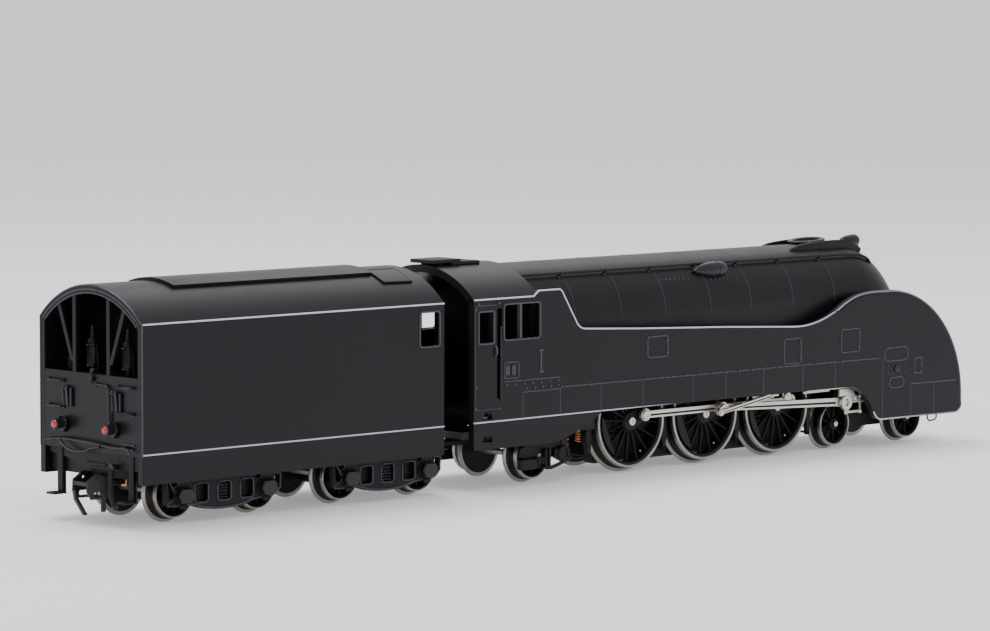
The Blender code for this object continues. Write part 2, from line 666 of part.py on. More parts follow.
def make_motion():
    """Cylinders, slide bars, crossheads and rods of both sides."""
    z = DRIVER_AXLE_Z
    for name, side in SIDES.items():
        casting = side_box(f"cylinder_{name}", (53.6, 58.8), (3.9, 8.2), (4.5, 8.2), side)
        chest = side_box("chest", (54.2, 58.2), (3.9, 7.6), (8.0, 11.0), side)
        bore = rod("bore", (52, side * 7.6, z), (60, side * 7.6, z), 0.32, segments=16)
        cut(union(casting, chest), bore)

        bar = side_box(f"slide_bar_{name}", (40.5, 53.5), SLIDE_LAYER, (8.1, 8.4), side, "nickel")
        hanger = side_box("hanger", (40.55, 41.1), (SLIDE_LAYER[0] + 0.02, SLIDE_LAYER[1] - 0.02),
                          (8.2, 12.4), side)
        radius_rod = side_box("radius_rod", (31.4, 40.7), (7.42, 7.66), (9.0, 9.35), side)
        union(bar, hanger, radius_rod)

        x = MAIN_AXLE_X + crank_offset(-1)[0] + MAIN_ROD_LENGTH
        span = sorted((side * SLIDE_LAYER[0], side * SLIDE_LAYER[1]))
        outline = [(x - 1.7, 7.3), (x - 1.7, 8.05), (x + 1.5, 8.05), (x + 1.5, 7.3), (x + 0.9, 5.4),
                   (x - 0.4, 4.8), (x - 0.9, 5.4)]
        head = plate(f"crosshead_{name}", "XZ", outline, span, "nickel")
        link_bar = side_box("union_link", (x - 0.3, x + 2.6), (7.5, 7.9), (4.85, 5.15), side)
        lever = side_box("lever", (x + 2.3, x + 2.6), (7.5, 7.9), (4.9, 7.2), side)
        piston = rod("piston_rod", (x + 0.6, side * 7.6, z), (x + 8.0, side * 7.6, z), 0.22, segments=12)
        union(head, link_bar, lever, piston)
        ORIGINS[f"crosshead_{name}"] = (x, side * 7.6, z)

        pin_x, pin_z = crank_offset(side)
        pins = [(DRIVER_X[n] + pin_x, z + pin_z) for n in (3, 2, 1)]
        span = sorted((side * COUPLING_LAYER[0], side * COUPLING_LAYER[1]))
        bar = side_box(f"coupling_rod_{name}", (pins[0][0], pins[2][0]),
                       (COUPLING_LAYER[0] + 0.05, COUPLING_LAYER[1] - 0.05),
                       (pins[0][1] - 0.36, pins[0][1] + 0.36), side, "nickel")
        eyes = [plate("eye", "XZ", ring(pin, 0.78, 14), span, "nickel") for pin in pins]
        bores = [rod("bore", (pin[0], -9, pin[1]), (pin[0], 9, pin[1]), 0.5, segments=12) for pin in pins]
        cut(union(bar, *eyes), *bores)
        ORIGINS[f"coupling_rod_{name}"] = (pins[1][0], side * COUPLING_LAYER[0], pins[1][1])

        big_end = pins[1]
        small_end = (big_end[0] + MAIN_ROD_LENGTH, big_end[1] - (0.75 if side < 0 else 0.0))
        span = sorted((side * MAIN_LAYER[0], side * MAIN_LAYER[1]))
        main = plate(f"main_rod_{name}", "XZ", stadium(big_end, small_end, 0.72, 0.5), span, "nickel")
        bore = rod("bore", (big_end[0], -9, big_end[1]), (big_end[0], 9, big_end[1]), 0.5, segments=12)
        cut(main, bore)
        ORIGINS[f"main_rod_{name}"] = (big_end[0], side * MAIN_LAYER[0], big_end[1])

        off_x, off_z = return_offset(side)
        start = (MAIN_AXLE_X + off_x, z + off_z)
        end = (start[0] + 9.3, 8.15)
        span = sorted((side * ECCENTRIC_LAYER[0], side * ECCENTRIC_LAYER[1]))
        eccentric = plate(f"eccentric_rod_{name}", "XZ", stadium(start, end, 0.48, 0.3), span, "nickel")
        bore = rod("bore", (start[0], -9, start[1]), (start[0], 9, start[1]), 0.27, segments=12)
        cut(eccentric, bore)
        ORIGINS[f"eccentric_rod_{name}"] = (start[0], side * ECCENTRIC_LAYER[0], start[1])


# ---------------------------------------------------------------- tender

def make_tender_body():
    shell = plate("tender_shell", "YZ", shell_section(TENDER_EAVE_Z, TENDER_ROOF_Z, SKIRT_FOOT - 0.1),
                  (TENDER_REAR_X + 0.8 + CLEARANCE, TENDER_FRONT_X))
    roof = arch(BODY_HALF_WIDTH, TENDER_EAVE_Z, TENDER_ROOF_Z, inset=WALL / 2)
    wall = [(8.8, 9.4)] + roof + [(-8.8, 9.4)]
    bulkheads = [plate("bulkhead", "YZ", wall, (x, x + 0.8)) for x in (-61.9, -28.6)]
    shell = union(shell, *bulkheads)
    for side in SIDES.values():
        shell = cut(shell, side_box("window", (-26.6, -23.6), (8.0, 9.6), (17.9, 22.0), side))

    outer = arch(BODY_HALF_WIDTH, TENDER_EAVE_Z, TENDER_ROOF_Z)
    frame = plate("tender_end_frame", "YZ", [(BODY_HALF_WIDTH, 8.2)] + outer + [(-BODY_HALF_WIDTH, 8.2)],
                  (TENDER_REAR_X, TENDER_REAR_X + 0.8))
    opening_arch = arch(BODY_HALF_WIDTH, TENDER_EAVE_Z, TENDER_ROOF_Z, inset=1.0)
    sill_z = 16.9
    opening = plate("opening", "YZ", [(8.25, sill_z)] + opening_arch + [(-8.25, sill_z)],
                    (TENDER_REAR_X - 1, TENDER_REAR_X + 2))
    frame = cut(frame, opening)
    for side in SIDES.values():
        x = (TENDER_REAR_X + 0.1, TENDER_REAR_X + 0.7)
        post = side_box("post", x, (2.75, 3.35), (sill_z - 0.3, 25.8), side)
        low, high = (3.2, 18.7), (6.2, 24.6)
        brace = plate("brace", "YZ", [(side * a, b) for a, b in
                                      ((low[0] - 0.1, low[1] - 0.6), (low[0] + 0.5, low[1] - 0.6),
                                       (high[0] + 0.3, high[1]), (high[0] - 0.3, high[1]))],
                      (TENDER_REAR_X + 0.15, TENDER_REAR_X + 0.65))
        frame = union(frame, post, brace)

    covers = (("ridge_cover", (-59.2, -29.5), (-4.0, 4.0)), ("roof_hatch", (-29.2, -25.1), (-6.1, -2.9)))
    for name, x, y in covers:
        radius = (BODY_HALF_WIDTH ** 2 + 16) / 8
        centre_z = TENDER_ROOF_Z - radius
        spread = [degrees_of(edge / radius) for edge in y]
        lift = 0.35 if name == "ridge_cover" else 0.3
        outer = arc((0, centre_z), radius + lift, 90 - spread[0], 90 - spread[1], 10)
        inner = arc((0, centre_z), radius + CLEARANCE, 90 - spread[1], 90 - spread[0], 10)
        plate(name, "YZ", outer + inner, x)


def make_tender_floor():
    floor = box("tender_floor", (-66.8, -8.25, 8.4), (-24.0, 8.25, 9.3))
    sill = box("sill", (-66.0, -2.6, 7.2), (-24.6, 2.6, 8.8))
    beam = box("beam", (-66.85, -7.6, 5.3), (-66.2, 7.6, 8.9))
    draw_pin = rod("draw_pin", (TENDER_PIN_X, 0, 4.7), (TENDER_PIN_X, 0, 7.6), 0.6)
    pivots = [rod("pivot", (x, 0, 4.7), (x, 0, 7.6), 0.8) for x in BOGIE_X.values()]
    coupler_pin = rod("coupler_pin", (-64.6, 0, 4.4), (-64.6, 0, 7.6), 0.5)
    filler = turned("filler", [(0, 8.9), (0.5, 8.9), (0.5, 17.9), (0.62, 17.95), (0.62, 18.2), (0, 18.2)],
                    Matrix.Translation((BAY_X, 7.2, 0)), "frame_black", steps=14)
    union(floor, sill, beam, draw_pin, *pivots, coupler_pin, filler)


def make_tender_fittings():
    """Steam pumps in the rear bay, lamps, steps, hose and uncoupling lever on the end."""
    foot = 9.35
    pump = [(0, foot), (0.35, foot), (0.35, 17.2), (0.75, 17.4), (0.75, 17.65), (0.6, 17.7), (0.6, 19.7),
            (0.78, 19.75), (0.78, 19.95), (0.45, 20.3), (0.28, 20.5), (0.28, 21.5), (0, 21.5)]
    for name, y in (("pump_right", -3.1), ("pump_left", 3.3)):
        turned(name, pump, Matrix.Translation((BAY_X, y, 0)), "frame_black", steps=14)
    for name, y in (("tail_lamp_right", -4.4), ("tail_lamp_left", 4.75)):
        face = TENDER_REAR_X - CLEARANCE
        turned(name, [(0, face), (0.35, face), (0.35, face - 0.35), (0.62, face - 0.45), (0.62, face - 1.15),
                      (0.42, face - 1.35), (0.42, face - 1.55), (0, face - 1.55)],
               along_x(y, 11.0), "lamp", steps=14)
    for name, y in (("step_right", (-7.2, -6.2)), ("step_left", (5.6, 6.6))):
        hanger = box(name, (-67.5, y[0], 3.0), (-67.0, y[1], 8.0))
        tread = box("tread", (-68.9, y[0] - 0.2, 2.9), (-67.1, y[1] + 0.2, 3.2))
        union(hanger, tread)
    lever_x = TENDER_REAR_X - 0.45
    route = [(y, 8.9 - 0.55 * cos(y / 7.4 * pi)) for y in (-7.4, -6, -4.5, -3, -1.5, 0, 1.5, 3, 4.5, 6, 7.4)]
    wire("uncoupling_lever", [(lever_x, y, z) for y, z in route], 0.17)
    hose = curve_through([(6.6, -67.35), (5.6, -67.9), (4.2, -68.2), (2.9, -67.9), (2.3, -67.5)], 3)
    wire("brake_hose", [(x, -4.1, z) for z, x in hose], 0.3)


def make_coupler():
    """Swinging hook coupler with a tail that hangs to rail height."""
    ORIGINS["coupler"] = (-64.6, 0, 4.7)
    shank = box("coupler", (-67.6, -0.7, 4.2), (-63.8, 0.7, 4.9))
    jaw = [(-67.4, 4.2), (-67.4, 5.25), (-68.6, 5.4), (REAR_X, 4.6), (REAR_X, 3.2), (-69.0, 2.6),
           (-68.3, 2.6), (-68.1, 4.2)]
    head = plate("head", "XZ", jaw, (-1.5, 1.5), "frame_black")
    hanging = [(-69.1, 2.9), (-68.6, 2.9), (-67.4, 1.0), (-67.8, 0.9)]
    tail = plate("tail", "XZ", hanging, (-0.5, 0.5), "frame_black")
    bore = rod("bore", (-64.6, 0, 3), (-64.6, 0, 8), 0.6, segments=20)
    cut(union(shank, head, tail), bore)


def make_drawbar():
    ORIGINS["drawbar"] = (ENGINE_PIN_X, 0, DRAWBAR_Z[0])
    outline = stadium((TENDER_PIN_X, 0), (ENGINE_PIN_X, 0), 1.3, 1.3, 10)
    bar = plate("drawbar", "XY", outline, DRAWBAR_Z, "frame_black")
    pins = (TENDER_PIN_X, ENGINE_PIN_X)
    bores = [rod("bore", (x, 0, 4), (x, 0, 6.5), 0.75, segments=12) for x in pins]
    cut(bar, *bores)


def make_bogie(name):
    """Cast bogie: two windowed side frames joined by a bolster at the pivot."""
    centre_x = BOGIE_X[name]
    z = CARRYING_AXLE_Z
    ORIGINS[f"bogie_frame_{name}"] = (centre_x, 0, z)
    bolster = box(f"bogie_frame_{name}", (centre_x - 1.45, -6.8, 4.9), (centre_x + 1.45, 6.8, 5.75))
    half = BOGIE_HALF_BASE
    outline = [(-half - 2.5, 4.55), (-half - 1.4, 5.9), (half + 1.4, 5.9), (half + 2.5, 4.55),
               (half + 1.3, 1.95), (half - 1.4, 1.9), (3.0, 1.5), (-3.0, 1.5), (-half + 1.4, 1.9),
               (-half - 1.3, 1.95)]
    for side in SIDES.values():
        span = sorted((side * 6.35, side * 7.3))
        frame = plate("frame", "XZ", [(centre_x + x, height) for x, height in outline], span, "frame_black")
        windows = [side_box("window", (x - 0.95, x + 0.95), (6.0, 8.0), (2.35, 4.35), side)
                   for x in (centre_x - 2.85, centre_x, centre_x + 2.85)]
        frame = cut(frame, *windows)
        boxes = [side_box("axlebox", (x - 1.15, x + 1.15), (7.05, 8.05), (z - 1.1, z + 1.1), side)
                 for x in (centre_x - half, centre_x + half)]
        bearings = [rod("bearing", (x, side * 6.0, z), (x, side * 7.2, z), 0.55, segments=20)
                    for x in (centre_x - half, centre_x + half)]
        frame = cut(union(frame, *boxes), *bearings)
        bolster = union(bolster, frame)
    cut(bolster, rod("pivot_bore", (centre_x, 0, 3), (centre_x, 0, 7), 0.95, segments=20))
    carrying_wheelset(f"{name}_bogie_wheelset_rear", centre_x - half, 7.1)
    carrying_wheelset(f"{name}_bogie_wheelset_front", centre_x + half, 7.1)


# ---------------------------------------------------------------- build

def to_metres():
    """Put each moving piece's origin on its joint and turn millimetres into metres."""
    for obj in PARTS.objects:
        origin = Vector(ORIGINS.get(obj.name, (0, 0, 0)))
        obj.data.transform(Matrix.Scale(MM, 4) @ Matrix.Translation(-origin))
        obj.location = origin * MM
        obj.data.shade_smooth()
        obj.data.set_sharp_from_angle(angle=radians(30))


def main():
    make_cab()
    make_valances()
    make_boiler()
    make_nose()
    make_roof_fittings()
    make_turret_covers()
    make_handrails()
    make_chassis()
    make_drive()
    for number in DRIVER_X:
        make_driver(number)
    make_trucks()
    make_motion()
    make_tender_body()
    make_tender_floor()
    make_tender_fittings()
    make_coupler()
    make_drawbar()
    for name in BOGIE_X:
        make_bogie(name)
    to_metres()


main()
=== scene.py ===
# %% [markdown]
# # A streamlined steam locomotive in N scale
# The object is a small-scale model: a black 4-6-2 engine with a bogie tender.
# The mechanical model is loaded first as a fixed frame, and every piece made here
# rides on one of its bodies, so wheels turn and bogies swing with what they carry.

# %% Load the frame
import bpy
import bmesh
from math import asin, atan2, cos, degrees, pi, radians, sin, sqrt
from mathutils import Matrix, Vector


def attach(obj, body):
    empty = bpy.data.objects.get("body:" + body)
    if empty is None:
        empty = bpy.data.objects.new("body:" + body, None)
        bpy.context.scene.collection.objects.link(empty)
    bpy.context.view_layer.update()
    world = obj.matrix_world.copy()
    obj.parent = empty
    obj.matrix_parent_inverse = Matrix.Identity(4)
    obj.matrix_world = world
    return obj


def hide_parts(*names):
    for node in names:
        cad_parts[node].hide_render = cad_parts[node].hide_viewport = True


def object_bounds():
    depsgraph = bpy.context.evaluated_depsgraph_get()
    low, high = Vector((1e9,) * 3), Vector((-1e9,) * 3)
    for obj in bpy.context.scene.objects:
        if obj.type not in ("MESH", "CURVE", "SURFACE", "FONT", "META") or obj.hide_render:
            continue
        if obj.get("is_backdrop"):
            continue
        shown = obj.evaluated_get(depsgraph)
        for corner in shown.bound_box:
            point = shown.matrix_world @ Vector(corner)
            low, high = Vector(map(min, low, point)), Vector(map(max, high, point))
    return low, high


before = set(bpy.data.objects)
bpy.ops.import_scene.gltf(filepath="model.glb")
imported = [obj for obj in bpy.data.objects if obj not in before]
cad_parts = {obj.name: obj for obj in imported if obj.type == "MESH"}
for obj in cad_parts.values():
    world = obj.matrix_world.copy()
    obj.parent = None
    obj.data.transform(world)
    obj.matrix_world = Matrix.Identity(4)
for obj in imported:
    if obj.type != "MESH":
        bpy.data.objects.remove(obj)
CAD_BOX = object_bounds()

MM = 0.001
SIDES = {"right": -1, "left": 1}
BOTH = (-1, 1)

# %% [markdown]
# ## Camera, floor and light
# The camera stands low behind the engine's right side with a long lens, as one would
# take a shelf model. The look direction is set from two points. The floor is one very
# large pale sheet at the wheels' lowest point, which glows a little so that it stays
# even to its far edge. The light is a pale sky with three soft panels, because satin
# black plastic shows mostly what it reflects.

# %% Camera
CAMERA_PLACE = Vector((-368.725, -386.358, 63.918)) * MM
CAMERA_TARGET = Vector((-14.232, -8.838, 21.003)) * MM
CAMERA_ROLL = radians(0.137)
camera_data = bpy.data.cameras.new("camera")
camera_data.lens = 159.82
camera_data.sensor_width = 36
camera_data.clip_start = 0.01
camera = bpy.data.objects.new("camera", camera_data)
bpy.context.scene.collection.objects.link(camera)
camera.location = CAMERA_PLACE
look = (CAMERA_TARGET - CAMERA_PLACE).to_track_quat("-Z", "Y").to_matrix()
camera.rotation_euler = (look @ Matrix.Rotation(CAMERA_ROLL, 3, "Z")).to_euler()
bpy.context.scene.camera = camera

# %% Floor, sky and lights
FLOOR_REACH = 14.0
FLOOR_COLOUR = (0.74, 0.74, 0.765, 1)
FLOOR_GLOW = 0.42
pale = bpy.data.materials.new("pale_floor")
pale.use_nodes = True
for key, value in (("Base Color", FLOOR_COLOUR), ("Roughness", 0.8), ("Emission Color", FLOOR_COLOUR),
        ("Emission Strength", FLOOR_GLOW)):
    pale.node_tree.nodes["Principled BSDF"].inputs[key].default_value = value
mesh = bpy.data.meshes.new("floor")
corners = [(x * FLOOR_REACH, y * FLOOR_REACH, 0) for x, y in ((-1, -1), (1, -1), (1, 1), (-1, 1))]
mesh.from_pydata(corners, [], [range(4)])
mesh.materials.append(pale)
floor = bpy.data.objects.new("floor", mesh)
bpy.context.scene.collection.objects.link(floor)
floor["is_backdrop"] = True

world = bpy.data.worlds.new("studio")
world.use_nodes = True
world.node_tree.nodes["Background"].inputs["Color"].default_value = (0.8, 0.795, 0.835, 1)
world.node_tree.nodes["Background"].inputs["Strength"].default_value = 1.13
bpy.context.scene.world = world


def soft_light(name, place, aim, size, watts):
    data = bpy.data.lights.new(name, "AREA")
    data.shape = "SQUARE"
    data.size = size
    data.energy = watts
    lamp = bpy.data.objects.new(name, data)
    bpy.context.scene.collection.objects.link(lamp)
    lamp.location = place
    lamp.rotation_euler = (Vector(aim) - Vector(place)).to_track_quat("-Z", "Y").to_euler()


soft_light("top_panel", (-0.05, 0.16, 0.5), (0, 0, 0), 0.3, 2.2)
soft_light("near_panel", (-0.1, -0.45, 0.62), (0, 0, 0.01), 0.12, 0.7)
soft_light("far_panel", (0.34, 0.24, 0.36), (-0.02, 0, 0.02), 0.22, 0.16)

# %% [markdown]
# ## Shader maths
# A finish is a few lines of arithmetic on places and noises. The class below wraps a
# node socket, so that an expression such as `0.4 + grain * 0.1` adds the Math nodes
# itself, and `node` adds any other node with its settings and inputs.

# %% The Term class
class Term:
    """A shader socket that takes part in sums."""

    def __init__(self, tree, socket):
        self.tree = tree
        self.socket = socket

    def node(self, kind, settings=None, inputs=None, out=0):
        made = self.tree.nodes.new("ShaderNode" + kind)
        for key, value in (settings or {}).items():
            if key == "stops":
                while len(made.color_ramp.elements) < len(value):
                    made.color_ramp.elements.new(1.0)
                for element, (place, shade) in zip(made.color_ramp.elements, value):
                    element.position = place
                    element.color = shade if len(shade) == 4 else (*shade, 1)
            else:
                setattr(made, key, value)
        for key, value in (inputs or {}).items():
            if isinstance(value, Term):
                self.tree.links.new(value.socket, made.inputs[key])
            else:
                made.inputs[key].default_value = value
        return Term(self.tree, made.outputs[out])

    def sum(self, operation, a, b):
        return self.node("Math", {"operation": operation}, {0: a, 1: b})

    def __add__(self, other):
        return self.sum("ADD", self, other)

    def __sub__(self, other):
        return self.sum("SUBTRACT", self, other)

    def __rsub__(self, other):
        return self.sum("SUBTRACT", other, self)

    def __mul__(self, other):
        return self.sum("MULTIPLY", self, other)

    def __truediv__(self, other):
        return self.sum("DIVIDE", self, other)

    def between(self, low, high):
        """0 below low, 1 above high, and a ramp from one to the other."""
        return self.node("MapRange", {}, {0: self, 1: low, 2: high, 3: 0.0, 4: 1.0})

    def noise(self, scale, detail=2.0):
        return self.node("TexNoise", {}, {"Vector": self, "Scale": scale, "Detail": detail}, 0)

    def mix(self, a, b):
        """Colour a where this is 0 and colour b where it is 1."""
        inputs = {0: self}
        for index, shade in ((6, a), (7, b)):
            inputs[index] = shade if isinstance(shade, Term) else (*shade, 1)
        return self.node("Mix", {"data_type": "RGBA"}, inputs, 2)

    __radd__ = __add__
    __rmul__ = __mul__


# %% [markdown]
# ## Finishes
# The body is moulded plastic under a satin black coat with a faint orange peel. The
# frames are duller bare plastic, the wheels are black plastic with plated rims, and
# the rods are stamped nickel silver. Noise on Object coordinates keeps each pattern
# still on its piece; its scale is per metre, so 3000 gives grains a third of a
# millimetre wide.

# %% Finish helper
def finish(name, make, **constants):
    """A Principled material: constants go on its sockets, and make() fills the rest."""
    mat = bpy.data.materials.new(name)
    mat.use_nodes = True
    tree = mat.node_tree
    shader = tree.nodes["Principled BSDF"]
    for key, value in constants.items():
        socket = shader.inputs[key.replace("_", " ")]
        socket.default_value = (*value, 1) if isinstance(value, tuple) else value
    texture = tree.nodes.new("ShaderNodeTexCoord")
    for key, value in make(Term(tree, texture.outputs["Object"])).items():
        tree.links.new(value.socket, shader.inputs[key.replace("_", " ")])
    return mat


def bump(height, strength, distance):
    return height.node("Bump", {}, {"Strength": strength, "Distance": distance, "Height": height})


def stretched(place, along, across):
    """Place with one axis drawn out, for marks that run along x."""
    return place.node("Mapping", {}, {"Vector": place, "Scale": (along, across, across)})


# %% Black plastics
def satin_black(place):
    peel = place.noise(2600, 2)
    haze = place.noise(90, 3)
    dust = place.noise(420, 4).between(0.56, 0.75)
    return {
        "Base_Color": (haze * 0.7 + dust * 0.3).mix((0.0042, 0.0042, 0.0057), (0.009, 0.009, 0.0112)),
        "Roughness": 0.3 + haze * 0.1 + dust * 0.05,
        "Normal": bump(peel, 0.12, 0.00004),
    }


def bare_black(dark, dusty, grain, dust, rough, depth):
    """Unpainted black plastic; grain and dust are (noise scale, detail)."""
    def make(place):
        specks = place.noise(*dust)
        return {
            "Base_Color": specks.mix(dark, dusty),
            "Roughness": rough[0] + specks * rough[1],
            "Normal": bump(place.noise(*grain), *depth),
        }
    return make


def painted_edge_highlight(place):
    """Raised lines and rivets in a lighter black than the body: a painted highlight where light catches
    them.
    """
    highlight_patches = place.noise(1900, 3)
    return {
        # The lighter base is a painted highlight on raised detail; the noise gives it random patches.
        "Base_Color": highlight_patches.mix((0.018, 0.018, 0.023), (0.058, 0.058, 0.07)),
        "Roughness": 0.22 + highlight_patches * 0.15,
    }


BODY = finish("satin_black_paint", satin_black, Specular_IOR_Level=0.23)
FRAME = finish("dull_black_plastic", bare_black((0.005, 0.005, 0.006), (0.011, 0.0108, 0.0118), (5200, 3),
    (700, 4), (0.44, 0.18), (0.25, 0.00004)), Specular_IOR_Level=0.25)
WHEEL = finish("wheel_centre_black", bare_black((0.0045, 0.0045, 0.0055), (0.01, 0.0098, 0.0105), (4200, 2),
    (900, 3), (0.42, 0.15), (0.15, 0.00003)), Specular_IOR_Level=0.26)
EDGE = finish("painted_edge_highlight", painted_edge_highlight)

# %% Metals
def stamped_nickel(place):
    streaks = stretched(place, 500, 9000).noise(1.0, 3)
    stain = place.noise(350, 3)
    return {
        "Base_Color": stain.mix((0.78, 0.75, 0.67), (0.58, 0.55, 0.47)),
        "Roughness": 0.24 + streaks * 0.16 + stain * 0.08,
        "Normal": bump(streaks, 0.1, 0.00002),
    }


def plated_rim(place):
    wear = place.noise(600, 3)
    return {
        "Base_Color": wear.mix((0.44, 0.415, 0.37), (0.25, 0.23, 0.2)),
        "Roughness": 0.24 + wear * 0.16,
    }


# Near-black metal: a painted reflection of dark surroundings on the bright treads, and painted shade on the
# rods' groove floors.
def painted_dark_metal(place):
    wear = place.noise(500, 3)
    return {
        "Base_Color": wear.mix((0.012, 0.011, 0.01), (0.03, 0.027, 0.024)),
        "Roughness": 0.28 + wear * 0.2,
    }


def silver_line(place):
    """Painted silver that ends round the nose, where the bead goes on in grey as a painted highlight on the
    rounded edge.
    """
    speck = place.noise(1500, 3)
    along = place.node("SeparateXYZ", {}, {0: place})
    upper = place.node("SeparateXYZ", {}, {0: place}, 2).between(0.01, 0.014)
    # Beyond the silver's end the bead turns grey, a painted highlight of the rounded nose edge, with random
    # specks.
    edge_glint_share = along.between(0.038, 0.05) * upper + along.between(0.056, 0.064) * (1 - upper)
    edge_glint_share = edge_glint_share * 0.74 + speck * 0.16
    return {
        "Base_Color": edge_glint_share.mix((0.62, 0.62, 0.71), (0.075, 0.075, 0.09)),
        "Roughness": 0.3 + speck * 0.15,
    }


NICKEL = finish("nickel_silver", stamped_nickel, Metallic=0.85)
RIM = finish("plated_rim", plated_rim, Metallic=0.9)
SHADE_DARK_METAL = finish("dark_metal_painted_shade", painted_dark_metal, Metallic=0.8)
TRIM_PAINT = finish("silver_line", silver_line, Metallic=0.25)

# %% Small finishes
def mottled(light, dark, scale, rough):
    def make(place):
        patch = place.noise(scale, 3)
        return {"Base_Color": patch.mix(light, dark), "Roughness": rough + patch * 0.15}
    return make


COPPER = finish("copper_spring", mottled((0.8, 0.3, 0.12), (0.45, 0.14, 0.05), 900, 0.25), Metallic=0.9)
BRASS = finish("brass", mottled((0.72, 0.5, 0.16), (0.45, 0.28, 0.08), 700, 0.28), Metallic=0.9)
DIE_CAST = finish("die_cast_zinc", mottled((0.1, 0.1, 0.11), (0.05, 0.05, 0.055), 800, 0.45), Metallic=0.6)
STEEL = finish("motor_steel", mottled((0.45, 0.45, 0.46), (0.3, 0.3, 0.31), 600, 0.35), Metallic=0.9)
NYLON = finish("nylon_gear", mottled((0.72, 0.7, 0.62), (0.62, 0.6, 0.52), 500, 0.4))
RED_LENS = finish("red_lens", mottled((0.5, 0.008, 0.015), (0.3, 0.005, 0.009), 2500, 0.22),
    Coat_Weight=0.6, Coat_Roughness=0.05)
LAMP = finish("lamp_black", mottled((0.009, 0.009, 0.011), (0.016, 0.016, 0.019), 1200, 0.18),
    Specular_IOR_Level=0.32)
# Near-black and barely reflecting: painted shade for the unlit rooms behind the cab and tender windows.
ROOM_SHADE = finish("unlit_inside", mottled((0.003, 0.003, 0.0035), (0.0045, 0.0045, 0.005), 600, 0.7),
    Specular_IOR_Level=0.08)
FINISHES = {"body_black": BODY, "frame_black": FRAME, "wheel_black": WHEEL, "nickel": NICKEL,
    "die_cast": DIE_CAST, "motor_steel": STEEL, "nylon": NYLON, "lamp_black": LAMP}
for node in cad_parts.values():
    for place_in_list, old in enumerate(node.data.materials):
        wanted = next((mat for slot_name, mat in FINISHES.items() if old and slot_name in old.name), FRAME)
        node.data.materials[place_in_list] = wanted
print("finishes:", len(bpy.data.materials))

# %% [markdown]
# ## Making solids
# Pieces are gathered from closed shapes in millimetres and turned into metres once.
# A plate is an outline given a thickness, a turned shape is a profile spun round an
# axis, and a tube follows a line of points. Each can take a fine edge.

# %% The Piece class
PLANES = {
    "XZ": lambda a, b, depth: Vector((a, depth, b)),
    "YZ": lambda a, b, depth: Vector((depth, a, b)),
    "XY": lambda a, b, depth: Vector((a, b, depth)),
}
WELD = 0.0005
SMOOTH_ANGLE = 25


def settle(obj, body, replaced=()):
    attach(obj, body)
    if replaced:
        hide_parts(*replaced)
    return obj


def placed(name, mesh):
    obj = bpy.data.objects.new(name, mesh)
    bpy.context.scene.collection.objects.link(obj)
    return obj


